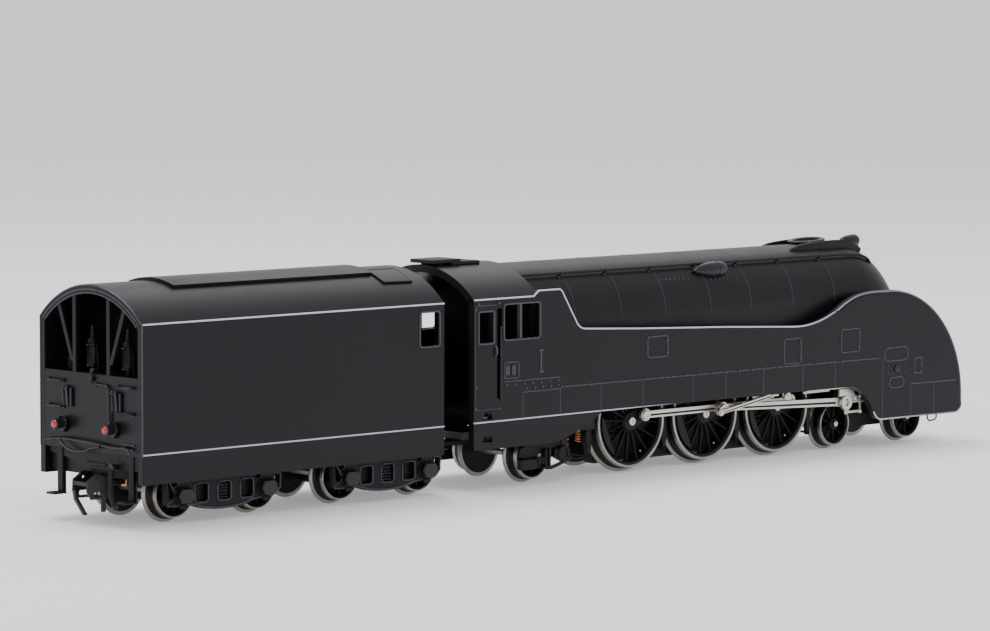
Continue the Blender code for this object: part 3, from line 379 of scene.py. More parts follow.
class Piece:
    """Closed shapes gathered into one mesh; sizes are in millimetres."""

    def __init__(self, name, *finishes):
        self.name = name
        self.finishes = finishes
        self.bm = bmesh.new()

    def take(self, part, coat=0):
        bmesh.ops.remove_doubles(part, verts=part.verts, dist=WELD)
        bmesh.ops.recalc_face_normals(part, faces=part.faces)
        for face in part.faces:
            face.material_index = coat
        mesh = bpy.data.meshes.new("part")
        part.to_mesh(mesh)
        part.free()
        self.bm.from_mesh(mesh)
        bpy.data.meshes.remove(mesh)
        return self

    def box(self, low, high, coat=0, bevel=0.0):
        low, high = Vector(map(min, low, high)), Vector(map(max, low, high))
        place = Matrix.Translation((low + high) / 2) @ Matrix.Diagonal((*(high - low), 1))
        part = bmesh.new()
        bmesh.ops.create_cube(part, size=1, matrix=place)
        if bevel:
            bmesh.ops.bevel(part, geom=part.edges[:], offset=bevel, segments=1, affect="EDGES")
        return self.take(part, coat)

    def plate(self, plane, outline, span, coat=0, bevel=0.0):
        part = bmesh.new()
        caps = []
        for depth in span:
            caps.append([part.verts.new(PLANES[plane](a, b, depth)) for a, b in outline])
        near, far = caps
        faces = [part.faces.new(near), part.faces.new(far)]
        for i in range(len(outline)):
            part.faces.new((near[i - 1], near[i], far[i], far[i - 1]))
        if bevel:
            rims = {edge for face in faces for edge in face.edges}
            bmesh.ops.bevel(part, geom=list(rims), offset=bevel, segments=1, affect="EDGES")
        return self.take(part, coat)

    def turned(self, profile, place, coat=0, steps=28):
        part = bmesh.new()
        rows = []
        for step in range(steps):
            turn = 2 * pi * step / steps
            rows.append([part.verts.new(place @ Vector((r * cos(turn), r * sin(turn), along)))
                for r, along in profile])
        for row, after in zip(rows, rows[1:] + rows[:1]):
            for i in range(len(profile) - 1):
                part.faces.new((row[i], row[i + 1], after[i + 1], after[i]))
        return self.take(part, coat)

    def rod(self, start, end, radius, coat=0, end_radius=None, sides=16):
        start, end = Vector(start), Vector(end)
        axis = end - start
        place = Matrix.Translation(start) @ axis.to_track_quat("Z", "Y").to_matrix().to_4x4()
        far = radius if end_radius is None else end_radius
        profile = [(0, 0), (radius, 0), (far, axis.length), (0, axis.length)]
        return self.turned(profile, place, coat, sides)

    def tube(self, points, radius, coat=0, sides=8):
        points = [Vector(point) for point in points]
        part = bmesh.new()
        rows = []
        across = None
        for i, point in enumerate(points):
            ahead = (points[min(i + 1, len(points) - 1)] - points[max(i - 1, 0)]).normalized()
            across = ahead.orthogonal() if across is None else across - ahead * across.dot(ahead)
            across.normalize()
            over = ahead.cross(across)
            rows.append([part.verts.new(point + radius * (across * cos(turn) + over * sin(turn)))
                for turn in (2 * pi * k / sides for k in range(sides))])
        for row, after in zip(rows, rows[1:]):
            for k in range(sides):
                part.faces.new((row[k - 1], row[k], after[k], after[k - 1]))
        part.faces.new(rows[0])
        part.faces.new(rows[-1])
        return self.take(part, coat)

    def ball(self, centre, radius, coat=0, flat=(1, 1, 1)):
        part = bmesh.new()
        place = Matrix.Translation(centre) @ Matrix.Diagonal((*flat, 1))
        bmesh.ops.create_uvsphere(part, u_segments=14, v_segments=8, radius=radius, matrix=place)
        return self.take(part, coat)

    def loose(self):
        """The mesh so far as a plain object, for a boolean."""
        mesh = bpy.data.meshes.new(self.name)
        self.bm.to_mesh(mesh)
        self.bm.free()
        for coat in self.finishes:
            mesh.materials.append(coat)
        return placed(self.name, mesh)

    def cut(self, cutter):
        target, tool = self.loose(), cutter.loose()
        boolean = target.modifiers.new("cut", "BOOLEAN")
        boolean.object = tool
        boolean.solver = "EXACT"
        bpy.context.view_layer.update()
        graph = bpy.context.evaluated_depsgraph_get()
        mesh = bpy.data.meshes.new_from_object(target.evaluated_get(graph))
        self.bm = bmesh.new()
        self.bm.from_mesh(mesh)
        for used in (target, tool):
            bpy.data.objects.remove(used)
        return self

    def done(self, body, slot, *replaced, smooth=SMOOTH_ANGLE, even=False):
        self.bm.transform(Matrix.Scale(MM, 4))
        obj = self.loose()
        obj.data.shade_smooth()
        obj.data.set_sharp_from_angle(angle=radians(smooth))
        if even:
            weighted = obj.modifiers.new("even", "WEIGHTED_NORMAL")
            weighted.keep_sharp = True
        print(self.name, len(obj.data.polygons), "faces")
        return settle(obj, body, replaced)


# %% Lines and outlines
def arc(centre, radius, start, end, steps):
    turns = [radians(start + (end - start) * i / steps) for i in range(steps + 1)]
    return [(centre[0] + radius * cos(a), centre[1] + radius * sin(a)) for a in turns]


def curve_through(points, steps=5):
    """A smooth line through a few points of any dimension."""
    smooth = []
    padded = [points[0], *points, points[-1]]
    for p0, p1, p2, p3 in zip(padded, padded[1:], padded[2:], padded[3:]):
        for t in (i / steps for i in range(steps)):
            smooth.append(tuple(
                0.5 * (2 * b + (c - a) * t + (2 * a - 5 * b + 4 * c - d) * t * t
                       + (3 * b - a - 3 * c + d) * t ** 3) for a, b, c, d in zip(p0, p1, p2, p3)))
    return [*smooth, points[-1]]


def rounded(left, right, low, high, radius, steps=4):
    """A rectangle with round corners, counter-clockwise from its lower right corner."""
    return (arc((right - radius, low + radius), radius, -90, 0, steps)
        + arc((right - radius, high - radius), radius, 0, 90, steps) + arc((left + radius, high - radius),
        radius, 90, 180, steps) + arc((left + radius, low + radius), radius, 180, 270, steps))


def stadium(start, end, start_radius, end_radius, steps=10):
    lean = degrees(atan2(end[1] - start[1], end[0] - start[0]))
    return arc(start, start_radius, lean + 90, lean + 270, steps) + arc(end, end_radius, lean - 90,
        lean + 90, steps)


def along_y(x, z, side=1):
    """A frame whose Z axis points outwards across the engine on one side."""
    return Matrix.Translation((x, 0, z)) @ Matrix.Rotation(-side * pi / 2, 4, "X")


def along_x(y, z):
    return Matrix.Translation((0, y, z)) @ Matrix.Rotation(pi / 2, 4, "Y")


def on_side(outline, side, reach):
    """Places (x, z) set on one side of the engine, reach away from its centre plane."""
    return [(x, side * reach, z) for x, z in outline]


# %% [markdown]
# ## Trees for what repeats
# Silver lines, panel seams, rivets, lugs, spokes and springs are rules, not shapes: a
# line or a set of points comes in, and the detail comes out. Each Geometry Nodes tree
# below has named inputs, ends in Realize Instances and Set Material, and `grown` turns
# what it makes into a plain mesh on one body.

# %% Tree helpers
def tree_of(name, *inputs):
    tree = bpy.data.node_groups.new(name, "GeometryNodeTree")
    tree.interface.new_socket("Geometry", in_out="INPUT", socket_type="NodeSocketGeometry")
    for title, kind, value in (*inputs, ("Finish", "Material", None)):
        socket = tree.interface.new_socket(title, in_out="INPUT", socket_type="NodeSocket" + kind)
        if value is not None:
            socket.default_value = value
    tree.interface.new_socket("Geometry", in_out="OUTPUT", socket_type="NodeSocketGeometry")
    return tree


def put(tree, kind, settings=None, inputs=None):
    node = tree.nodes.new(kind)
    for key, value in (settings or {}).items():
        setattr(node, key, value)
    for key, value in (inputs or {}).items():
        if isinstance(value, bpy.types.NodeSocket):
            tree.links.new(value, node.inputs[key])
        else:
            node.inputs[key].default_value = value
    return node


def end_tree(tree, given, geometry):
    real = put(tree, "GeometryNodeRealizeInstances", inputs={0: geometry})
    coated = put(tree, "GeometryNodeSetMaterial", inputs={"Geometry": real.outputs[0],
        "Material": given.outputs["Finish"]})
    put(tree, "NodeGroupOutput", inputs={0: coated.outputs[0]})


def grown(name, tree, lines, values, coat, body, replaced=()):
    """Runs a tree on lines of places, in millimetres, and keeps the plain mesh."""
    verts, edges = [], []
    for line in lines:
        first = len(verts)
        verts += [Vector(place) * MM for place in line]
        edges += [(first + i, first + i + 1) for i in range(len(line) - 1)]
    mesh = bpy.data.meshes.new(name)
    mesh.from_pydata(verts, edges, [])
    source = placed(name, mesh)
    nodes = source.modifiers.new("detail", "NODES")
    nodes.node_group = tree
    sockets = {item.name: item.identifier for item in tree.interface.items_tree if item.in_out == "INPUT"}
    for title, value in {**values, "Finish": coat}.items():
        nodes[sockets[title]] = value
    bpy.context.view_layer.update()
    made = bpy.data.meshes.new_from_object(source.evaluated_get(bpy.context.evaluated_depsgraph_get()))
    bpy.data.objects.remove(source)
    bm = bmesh.new()
    bm.from_mesh(made)
    bmesh.ops.recalc_face_normals(bm, faces=bm.faces)
    bm.to_mesh(made)
    bm.free()
    made.name = name
    made.shade_smooth()
    made.set_sharp_from_angle(angle=radians(40))
    print(name, len(made.polygons), "faces")
    return settle(placed(name, made), body, replaced)


# %% Lines, rivets and lugs
BEAD_TREE = tree_of("bead_along_line", ("Radius", "Float", 0.0001), ("Sides", "Int", 8))
given = put(BEAD_TREE, "NodeGroupInput")
path = put(BEAD_TREE, "GeometryNodeMeshToCurve", inputs={"Mesh": given.outputs["Geometry"]})
ring = put(BEAD_TREE, "GeometryNodeCurvePrimitiveCircle", inputs={"Resolution": given.outputs["Sides"],
    "Radius": given.outputs["Radius"]})
bead = put(BEAD_TREE, "GeometryNodeCurveToMesh",
    inputs={"Curve": path.outputs[0], "Profile Curve": ring.outputs[0], "Fill Caps": True})
end_tree(BEAD_TREE, given, bead.outputs[0])


def repeat_tree(name, stamp_kind, stamp_inputs, *inputs):
    """A tree that sets one small stamp at even steps along each line."""
    tree = tree_of(name, ("Spacing", "Float", 0.001), *inputs)
    given = put(tree, "NodeGroupInput")
    path = put(tree, "GeometryNodeMeshToCurve", inputs={"Mesh": given.outputs["Geometry"]})
    even = put(tree, "GeometryNodeResampleCurve", {"mode": "LENGTH"},
        {"Curve": path.outputs[0], "Length": given.outputs["Spacing"]})
    linked = {key: given.outputs[value] if isinstance(value, str) else value
        for key, value in stamp_inputs.items()}
    stamp = put(tree, stamp_kind, inputs=linked)
    set_down = put(tree, "GeometryNodeInstanceOnPoints",
        inputs={"Points": even.outputs[0], "Instance": stamp.outputs[0]})
    end_tree(tree, given, set_down.outputs[0])
    return tree


RIVET_TREE = repeat_tree("rivet_row", "GeometryNodeMeshUVSphere",
    {"Segments": 8, "Rings": 5, "Radius": "Radius"}, ("Radius", "Float", 0.0001))
LUG_TREE = repeat_tree("lug_row", "GeometryNodeMeshCube", {"Size": "Size"}, ("Size", "Vector", None))

# %% Spokes and springs
SPOKE_TREE = tree_of("spoked_wheel", ("Count", "Int", 16), ("Inner", "Float", 0.001),
    ("Length", "Float", 0.003), ("Root", "Float", 0.0003), ("Tip", "Float", 0.0002),
    ("Depth", "Float", 1.0), ("Phase", "Float", 0.0))
given = put(SPOKE_TREE, "NodeGroupInput")
bar = put(SPOKE_TREE, "GeometryNodeMeshCone", inputs={"Vertices": 8, "Radius Top": given.outputs["Tip"],
    "Radius Bottom": given.outputs["Root"], "Depth": given.outputs["Length"]})
lift = put(SPOKE_TREE, "ShaderNodeCombineXYZ", inputs={2: given.outputs["Inner"]})
flatten = put(SPOKE_TREE, "ShaderNodeCombineXYZ", inputs={0: 1.0, 1: given.outputs["Depth"], 2: 1.0})
spoke = put(SPOKE_TREE, "GeometryNodeTransform", inputs={"Geometry": bar.outputs[0],
    "Translation": lift.outputs[0], "Scale": flatten.outputs[0]})
points = put(SPOKE_TREE, "GeometryNodePoints", inputs={"Count": given.outputs["Count"]})
number = put(SPOKE_TREE, "GeometryNodeInputIndex")
share = put(SPOKE_TREE, "ShaderNodeMath", {"operation": "DIVIDE"},
    {0: number.outputs[0], 1: given.outputs["Count"]})
turn = put(SPOKE_TREE, "ShaderNodeMath", {"operation": "MULTIPLY_ADD"},
    {0: share.outputs[0], 1: 2 * pi, 2: given.outputs["Phase"]})
euler = put(SPOKE_TREE, "ShaderNodeCombineXYZ", inputs={1: turn.outputs[0]})
rotation = put(SPOKE_TREE, "FunctionNodeEulerToRotation", inputs={0: euler.outputs[0]})
star = put(SPOKE_TREE, "GeometryNodeInstanceOnPoints", inputs={"Points": points.outputs[0],
    "Instance": spoke.outputs[0], "Rotation": rotation.outputs[0]})
whole = put(SPOKE_TREE, "GeometryNodeRealizeInstances", inputs={0: star.outputs[0]})
on_wheels = put(SPOKE_TREE, "GeometryNodeInstanceOnPoints", inputs={"Points": given.outputs["Geometry"],
    "Instance": whole.outputs[0]})
end_tree(SPOKE_TREE, given, on_wheels.outputs[0])

COIL_TREE = tree_of("coil_spring", ("Turns", "Float", 5.0), ("Radius", "Float", 0.0004),
    ("Height", "Float", 0.002), ("Wire", "Float", 0.0001))
given = put(COIL_TREE, "NodeGroupInput")
spiral = put(COIL_TREE, "GeometryNodeCurveSpiral",
    inputs={"Resolution": 14, "Rotations": given.outputs["Turns"], "Start Radius": given.outputs["Radius"],
    "End Radius": given.outputs["Radius"], "Height": given.outputs["Height"]})
wire_ring = put(COIL_TREE, "GeometryNodeCurvePrimitiveCircle",
    inputs={"Resolution": 6, "Radius": given.outputs["Wire"]})
coil = put(COIL_TREE, "GeometryNodeCurveToMesh", inputs={"Curve": spiral.outputs[0],
    "Profile Curve": wire_ring.outputs[0], "Fill Caps": True})
springs = put(COIL_TREE, "GeometryNodeInstanceOnPoints", inputs={"Points": given.outputs["Geometry"],
    "Instance": coil.outputs[0]})
end_tree(COIL_TREE, given, springs.outputs[0])


def beads(name, lines, radius, coat, body, sides=8):
    return grown(name, BEAD_TREE, lines, {"Radius": radius * MM, "Sides": sides}, coat, body)


def rivets(name, lines, spacing, radius, coat, body):
    return grown(name, RIVET_TREE, lines, {"Spacing": spacing * MM, "Radius": radius * MM},
        coat, body)


# %% [markdown]
# ## Engine side plates
# Cab side and valance are one long plate on each side. Its upper edge steps up from
# the cab eave, drops in a slope behind the cab, runs down to the running board and
# rises again into the round nose; its lower edge opens over the driving wheels.

# %% Side outline
HALF_WIDTH = 9.25
WALL = 0.9
CAB_REAR = -18.0
CAB_EAVE = 23.0
SKIRT_FOOT = 5.2
TRIM_Z = 8.46
upper_edge = ([(CAB_REAR, CAB_EAVE), (-8.28, CAB_EAVE), (-7.45, 23.63), (-3.95, 23.63)]
    + curve_through([(-3.6, 23.4), (-1.35, 19.85), (-0.85, 19.15), (-0.1, 18.72), (1.0, 18.6)], 4)
    + [(9.63, 18.13), (24.91, 17.45), (36.75, 16.8)])
shoulder = curve_through([(37.9, 16.76), (39.3, 16.8), (41.1, 17.06), (43.0, 17.56), (45.1, 18.4),
    (47.1, 19.42), (48.9, 20.1), (50.7, 20.42), (52.4, 20.52), (53.7, 20.52)], 4)
nose_arc = arc((55.4, 6.2), 14.3, 93, 0, 40)
toe = arc((68.0, 5.5), 1.7, 0, -80, 8)
wheel_arch = curve_through([(53.9, 3.86), (53.1, 4.05), (52.55, 4.6), (51.2, 6.6), (49.6, 7.9), (48.2, 8.4),
    (46.6, TRIM_Z)], 6)
skirt = curve_through([(3.4, TRIM_Z), (1.13, 7.16), (-0.92, 6.33), (-3.3, 5.55), (-5.6, 5.25),
    (-8.0, SKIRT_FOOT)], 5)
top_to_toe = upper_edge + shoulder + nose_arc + toe
side_outline = top_to_toe + wheel_arch + skirt + [(CAB_REAR, SKIRT_FOOT)]
trim_path = top_to_toe + wheel_arch + [(CAB_REAR, TRIM_Z)]
print("side outline points:", len(side_outline))

# %% Cut and round the side plates
SIDE_WINDOW = rounded(-13.17, -7.25, 18.0, 22.3, 0.45)
DOOR_WINDOW = rounded(-17.27, -14.75, 17.75, 21.6, 0.25)
GRIP_RECESS = rounded(-14.25, -13.45, 11.1, 21.9, 0.25)
STEP_HOLE_X = -15.75


def step_hole(z):
    """A step hole in the side: an arch a little taller than a half circle."""
    return [(x, z + (h - z) * 1.15) for x, h in arc((STEP_HOLE_X, z), 0.78, 0, 180, 14)]


NOSE_EDGE_RADIUS = 0.55
ROUND_FROM_X, ROUND_FROM_Z = 45.0, 4.5


def nose_rounding(bm):
    """Rounds the plate's long front edge, from the shoulder to the toe, as on the moulding."""
    near_nose = [edge for edge in bm.edges
                 if abs(edge.verts[0].co.y - edge.verts[1].co.y) < 0.01
                 and all(vert.co.x > ROUND_FROM_X and vert.co.z > ROUND_FROM_Z for vert in edge.verts)
                 and all(abs(vert.co.y) > HALF_WIDTH - 0.1 for vert in edge.verts)
                 and all(vert.co.z > 15.0 or vert.co.x > 60.0 for vert in edge.verts)]
    bmesh.ops.bevel(bm, geom=near_nose, offset=NOSE_EDGE_RADIUS, segments=4, affect="EDGES", profile=0.5)


for name, side in SIDES.items():
    inner, outer = side * (HALF_WIDTH - WALL), side * HALF_WIDTH
    wall = Piece(f"side_plate_{name}", BODY).plate("XZ", side_outline, (inner, outer))
    nose_rounding(wall.bm)
    tools = Piece("tools", BODY)
    for hole in (SIDE_WINDOW, DOOR_WINDOW, step_hole(8.75), step_hole(6.05)):
        tools.plate("XZ", hole, (side * 7.5, side * 10.0))
    tools.plate("XZ", GRIP_RECESS, (side * 8.55, side * 10.0))
    wall.cut(tools)
    wall.done("engine", "body_black", f"valance_{name}", even=True)

# %% Silver lines and seams
EDGE_SINK = 0.16
LINE_RADIUS = 0.105


def clamped(share):
    return min(1.0, max(0.0, share))


def trim_line(side):
    """The silver line lies on the plate's edge and sinks into the rounding along the nose."""
    line = []
    for before, (x, z), after in zip(trim_path[:1] + trim_path, trim_path, trim_path[1:] + trim_path[-1:]):
        along = (Vector(after) - Vector(before)).normalized()
        sunk = EDGE_SINK * clamped((x - ROUND_FROM_X + 1.0) / 2) * clamped((z - ROUND_FROM_Z) / 0.8)
        line.append((x + along.y * sunk, side * (HALF_WIDTH - 0.02 - sunk), z - along.x * sunk))
    return line


for name, side in SIDES.items():
    beads(f"silver_line_{name}", [trim_line(side)], LINE_RADIUS, TRIM_PAINT, "engine")

LEDGE_Z = 11.86
FACE = HALF_WIDTH
ledge = [(-3.86, LEDGE_Z), (53.39, LEDGE_Z - 0.05)]
cab_ledges = [[(-13.09, 13.07), (-3.86, 13.07)], [(-10.04, 11.66), (-3.86, 11.66)]]
seam_marks = [(-10.04, 11.66), (-3.86, 11.8), (3.02, LEDGE_Z), (10.18, LEDGE_Z), (18.97, LEDGE_Z),
    (24.77, LEDGE_Z), (31.63, LEDGE_Z), (38.82, LEDGE_Z), (44.91, LEDGE_Z)]
upright_seams = [[(x, top), (x, TRIM_Z)] for x, top in seam_marks]
upright_seams += [[(53.98, LEDGE_Z), (53.98, 3.94)], [(59.48, 8.11), (59.48, 4.1)],
    [(64.0, 8.11), (64.0, 4.2)]]
door_seams = [[(-17.75, 22.3), (-17.75, 9.95), (-14.0, 9.95)], [(-17.75, 22.3), (-14.4, 22.3)]]
HATCHES = [(10.97, 14.48, 14.45, 17.0), (35.37, 38.47, 12.14, 15.28), (46.03, 49.46, 12.94, 15.89)]
hatch_rims = [rounded(*hatch, 0.35, 3) for hatch in HATCHES]
oval_rims = [rounded(54.28, 58.79, 11.3, 13.02, 0.8, 6), rounded(55.26, 58.01, 7.82, 9.14, 0.55, 5)]
cab_rims = [rounded(-13.05, -10.75, 13.45, 15.35, 0.1, 2), rounded(60.07, 61.54, 9.44, 11.4, 0.15, 2)]
for name, side in SIDES.items():
    fine = [on_side(line, side, FACE) for line in upright_seams + door_seams]
    beads(f"panel_seams_{name}", fine, 0.05, EDGE, "engine", 6)
    bold = [on_side(line, side, FACE) for line in [ledge, *cab_ledges, [(59.48, 8.11), (68.3, 8.05)]]]
    bold += [on_side(rim + rim[:1], side, FACE) for rim in hatch_rims + oval_rims + cab_rims]
    beads(f"panel_rims_{name}", bold, 0.085, EDGE, "engine", 8)
    sills = [on_side(rim + rim[:1], side, FACE + 0.01) for rim in (SIDE_WINDOW, DOOR_WINDOW)]
    beads(f"window_rims_{name}", sills, 0.13, EDGE, "engine", 8)

# %% Rivets and lugs on the sides
for name, side in SIDES.items():
    cab_rows = [[(-12.7, 12.68), (-4.2, 12.68)], [(-9.4, 12.1), (-4.2, 12.1)]]
    rivets(f"cab_rivets_{name}", [on_side(row, side, FACE) for row in cab_rows], 1.28, 0.18, EDGE,
        "engine")
    rows = [[(55.0, 10.7), (56.0, 10.7)], [(57.4, 10.7), (58.2, 10.7)], [(55.0, 9.7), (56.0, 9.7)],
        [(57.4, 9.7), (58.2, 9.7)]]
    rows += [[(60.3, 9.6), (60.3, 11.3)], [(61.3, 9.6), (61.3, 11.3)]]
    rivets(f"side_rivets_{name}", [on_side(row, side, FACE) for row in rows], 0.78, 0.14, EDGE,
        "engine")
    grown(f"ledge_lugs_{name}", LUG_TREE, [on_side([(-3.7, LEDGE_Z), (53.2, LEDGE_Z - 0.05)], side, FACE)],
        {"Spacing": 2.36 * MM, "Size": (0.26 * MM, 0.28 * MM, 0.22 * MM)}, EDGE, "engine")
    fit = Piece(f"side_fittings_{name}", EDGE, LAMP)
    for hatch in HATCHES:
        left, right, low, high = hatch
        for place in ((left - 0.05, (low + high) / 2), (right - 0.1, low + 0.5), (right - 0.1, high - 0.5)):
            fit.ball((place[0], side * FACE, place[1]), 0.2)
    fit.turned([(0, 9.2), (0.5, 9.2), (0.5, 9.36), (0.36, 9.4), (0.3, 9.34), (0, 9.36)],
        along_y(56.7, 10.25, side), 1, steps=20)
    for x in (-12.6, -11.6):
        fit.box((x - 0.3, side * 9.2, 13.75), (x + 0.3, side * 9.38, 15.05), bevel=0.06)
        for z in (13.9, 14.4, 14.9):
            fit.ball((x, side * 9.4, z), 0.13)
    fit.box((-7.2, side * 9.2, 14.0), (-6.95, side * 9.36, 16.4), bevel=0.05)
    fit.box((-7.45, side * 9.2, 16.35), (-6.7, side * 9.4, 16.6), bevel=0.05)
    fit.box((-7.45, side * 9.2, 13.8), (-6.7, side * 9.4, 14.05), bevel=0.05)
    grip_x = -13.6
    fit.rod((grip_x, side * 9.2, 11.0), (grip_x, side * 9.2, 19.6), 0.12, 1)
    for z in (11.0, 15.8, 19.6):
        fit.rod((grip_x, side * 8.6, z), (grip_x, side * 9.26, z), 0.14, 1)
        fit.ball((grip_x, side * 9.26, z), 0.2, 1)
    fit.tube([(-14.6, side * 9.3, 16.2), (-14.5, side * 9.5, 16.5), (-14.5, side * 9.5, 17.2),
        (-14.6, side * 9.3, 17.4)], 0.11)
    for x, z in ((-17.75, 10.1), (-17.75, 12.6), (-17.75, 21.9), (-17.3, 22.5), (-14.0, 9.95),
            (-14.0, 22.5)):
        fit.ball((x, side * 9.27, z), 0.19)
    fit.box((-10.4, side * 8.6, 17.9), (-10.05, side * 9.1, 22.4))
    fit.done("engine", "body_black")

# %% [markdown]
# ## Cab roof and ends
# The cab roof is one arched sheet. A near-black inner lining with a front wall closes the
# cab as painted shade, so that the windows look into a black room, as they do on the model.

# %% Cab roof, lining and floor
CAB_APEX = 26.75
CAB_FRONT = -7.45


def roof_arc(eave, apex, inset=0.0, half_width=HALF_WIDTH, steps=40):
    rise = apex - eave
    radius = (half_width ** 2 + rise ** 2) / (2 * rise)
    reach = degrees(asin((half_width - inset) / (radius - inset)))
    return arc((0, apex - radius), radius - inset, 90 - reach, 90 + reach, steps)


roof = Piece("cab_roof", BODY, ROOM_SHADE)
outer, inner = roof_arc(CAB_EAVE, CAB_APEX), roof_arc(CAB_EAVE, CAB_APEX, WALL)
roof.plate("YZ", outer + inner[::-1], (CAB_REAR, CAB_FRONT))
room = [(8.3, 9.2), *roof_arc(CAB_EAVE, CAB_APEX, WALL + 0.02), (-8.3, 9.2)]
roof.plate("YZ", room, (CAB_FRONT - 0.4, CAB_FRONT), 1)
roof.box((CAB_REAR + 0.5, -8.3, 9.0), (CAB_FRONT - 0.3, 8.3, 9.6), 1)
for side in BOTH:
    roof.box((-14.5, side * 8.3, 9.6), (-13.3, side * 8.5, 21.0), 1)
roof.box((CAB_REAR + 0.7, -3.2, 9.6), (CAB_REAR + 1.2, -2.9, 20.5), 1)
roof.box((CAB_REAR + 0.7, 2.9, 9.6), (CAB_REAR + 1.2, 3.2, 20.5), 1)
roof.done("engine", "body_black", "cab_shell", even=True)

vents = Piece("roof_vents", WHEEL)
vents.box((-16.9, -1.2, 26.7), (-11.3, 1.2, 26.86), bevel=0.04)
for x in (-16.4, -12.6, -10.9):
    for y in (-1.6, 1.6):
        vents.rod((x, y, 26.4), (x, y, 26.95), 0.14)
vents.box((-18.0, -2.0, 26.9), (-13.4, 2.0, 27.35), bevel=0.06)
vents.box((-14.9, -2.0, 26.62), (-10.3, 2.0, 27.03), bevel=0.06)
vents.done("engine", "frame_black", "roof_vent")

# %% [markdown]
# ## Boiler casing and nose
# One sheet makes the casing: a round top between flat running boards, swept forward
# and then bent down over the smokebox front while it widens to the side plates. It
# is laid out as rows of points, because one continuous surface shows no joint.

# %% Casing surface
BOILER_R = 7.0
BOILER_AXIS_Z = 19.35
BOILER_TOP_Z = BOILER_AXIS_Z + BOILER_R
BOARD_Z = 16.6
NOSE_X, NOSE_Z = 53.0, 12.1
NOSE_RADIUS = BOILER_TOP_Z - NOSE_Z
BOARD_HALF = 8.36


def casing_depth(y, radius, floor_depth):
    """How far the skin lies below the boiler's top at a distance y from the middle."""
    if abs(y) >= radius:
        return floor_depth
    return min(floor_depth, radius - sqrt(radius ** 2 - y ** 2))


def eased(share):
    share = clamped(share)
    return share * share * (3 - 2 * share)


NOSE_FLARE, FLARE_START = 9.0, 0.52
NOSE_SQUASH, SQUASH_END = 0.765, 0.6


def nose_skin(bend, y, lift=0.0):
    """A point of the nose: bend goes from 0 on the boiler to 1 at the foot of the curve."""
    angle = pi / 2 * (1 - bend)
    section = BOILER_R + NOSE_FLARE * eased((bend - FLARE_START) / (1 - FLARE_START))
    reach = NOSE_RADIUS + lift - casing_depth(y, section, BOILER_TOP_Z - BOARD_Z)
    forward = NOSE_SQUASH + (1 - NOSE_SQUASH) * eased((bend - SQUASH_END) / (1 - SQUASH_END))
    return Vector((NOSE_X + forward * reach * cos(angle), y, NOSE_Z + reach * sin(angle)))


def casing_row(x):
    """The casing's section at x, with the same number of points as a nose row."""
    row = []
    for k in range(ROW_POINTS + 1):
        share = k / ROW_POINTS
        if share < EDGE_SHARE or share > 1 - EDGE_SHARE:
            side = -1 if share < 0.5 else 1
            inward = min(share, 1 - share) / EDGE_SHARE
            y = side * (BOARD_HALF - (BOARD_HALF - BOILER_R) * inward)
            row.append(Vector((x, y, BOARD_Z)))
        else:
            turn = (share - EDGE_SHARE) / (1 - 2 * EDGE_SHARE)
            if turn < FLANK_SHARE or turn > 1 - FLANK_SHARE:
                side = -1 if turn < 0.5 else 1
                up = min(turn, 1 - turn) / FLANK_SHARE
                row.append(Vector((x, side * BOILER_R, BOARD_Z + (BOILER_AXIS_Z - BOARD_Z) * up)))
            else:
                angle = pi * (1 - (turn - FLANK_SHARE) / (1 - 2 * FLANK_SHARE))
                row.append(Vector((x, BOILER_R * cos(angle), BOILER_AXIS_Z + BOILER_R * sin(angle))))
    return row


ROW_POINTS = 72
EDGE_SHARE = 0.055
FLANK_SHARE = 0.10
BEND_STEPS = 36
APRON_FOOT = 4.2
CASING_SHEET = 0.5
rows = [casing_row(CAB_FRONT), casing_row(20.0), casing_row(45.0), casing_row(NOSE_X)]
for step in range(1, BEND_STEPS + 1):
    bend = step / BEND_STEPS
    spread = eased((bend - 0.25) / 0.5)
    blended = []
    for k, point in enumerate(casing_row(NOSE_X)):
        even_y = BOARD_HALF * (2 * k / ROW_POINTS - 1)
        y = point.y * (1 - spread) + even_y * spread
        blended.append(nose_skin(bend, y))
    rows.append(blended)
rows.append([Vector((point.x - 0.5, point.y, APRON_FOOT)) for point in rows[-1]])
casing = Piece("boiler_casing_skin", BODY)
sheet = bmesh.new()
grid = [[sheet.verts.new(point) for point in row] for row in rows]
for row, after in zip(grid, grid[1:]):
    for k in range(ROW_POINTS):
        sheet.faces.new((row[k], row[k + 1], after[k + 1], after[k]))
bmesh.ops.recalc_face_normals(sheet, faces=sheet.faces)
if sum(face.normal.z for face in sheet.faces) < 0:
    bmesh.ops.reverse_faces(sheet, faces=sheet.faces)
bmesh.ops.solidify(sheet, geom=sheet.faces[:], thickness=CASING_SHEET)
casing.take(sheet)
casing.done("engine", "body_black", "boiler_casing", "nose_casing", smooth=40)

# %% Bands, rivets and handrails on the boiler
BANDS = (0.9, 8.8, 16.4, 24.4, 31.7, 39.4, 47.2)


def on_boiler(x, lean, lift=0.0):
    """A place on the boiler at x, lean degrees from the top (right side is negative)."""
    reach = BOILER_R + lift
    return Vector((x, reach * sin(radians(lean)), BOILER_AXIS_Z + reach * cos(radians(lean))))


bands = [[on_boiler(x, lean, -0.01) for lean in range(-90, 91, 5)] for x in BANDS]
beads("boiler_bands", bands, 0.045, EDGE, "engine", 6)
rows_of_rivets = []
for side in BOTH:
    rows_of_rivets.append([on_boiler(16.9, side * 54), on_boiler(21.6, side * 54)])
    rows_of_rivets.append([on_boiler(25.5, side * 57), on_boiler(28.5, side * 57)])
rivets("boiler_rivets", rows_of_rivets, 0.72, 0.12, EDGE, "engine")

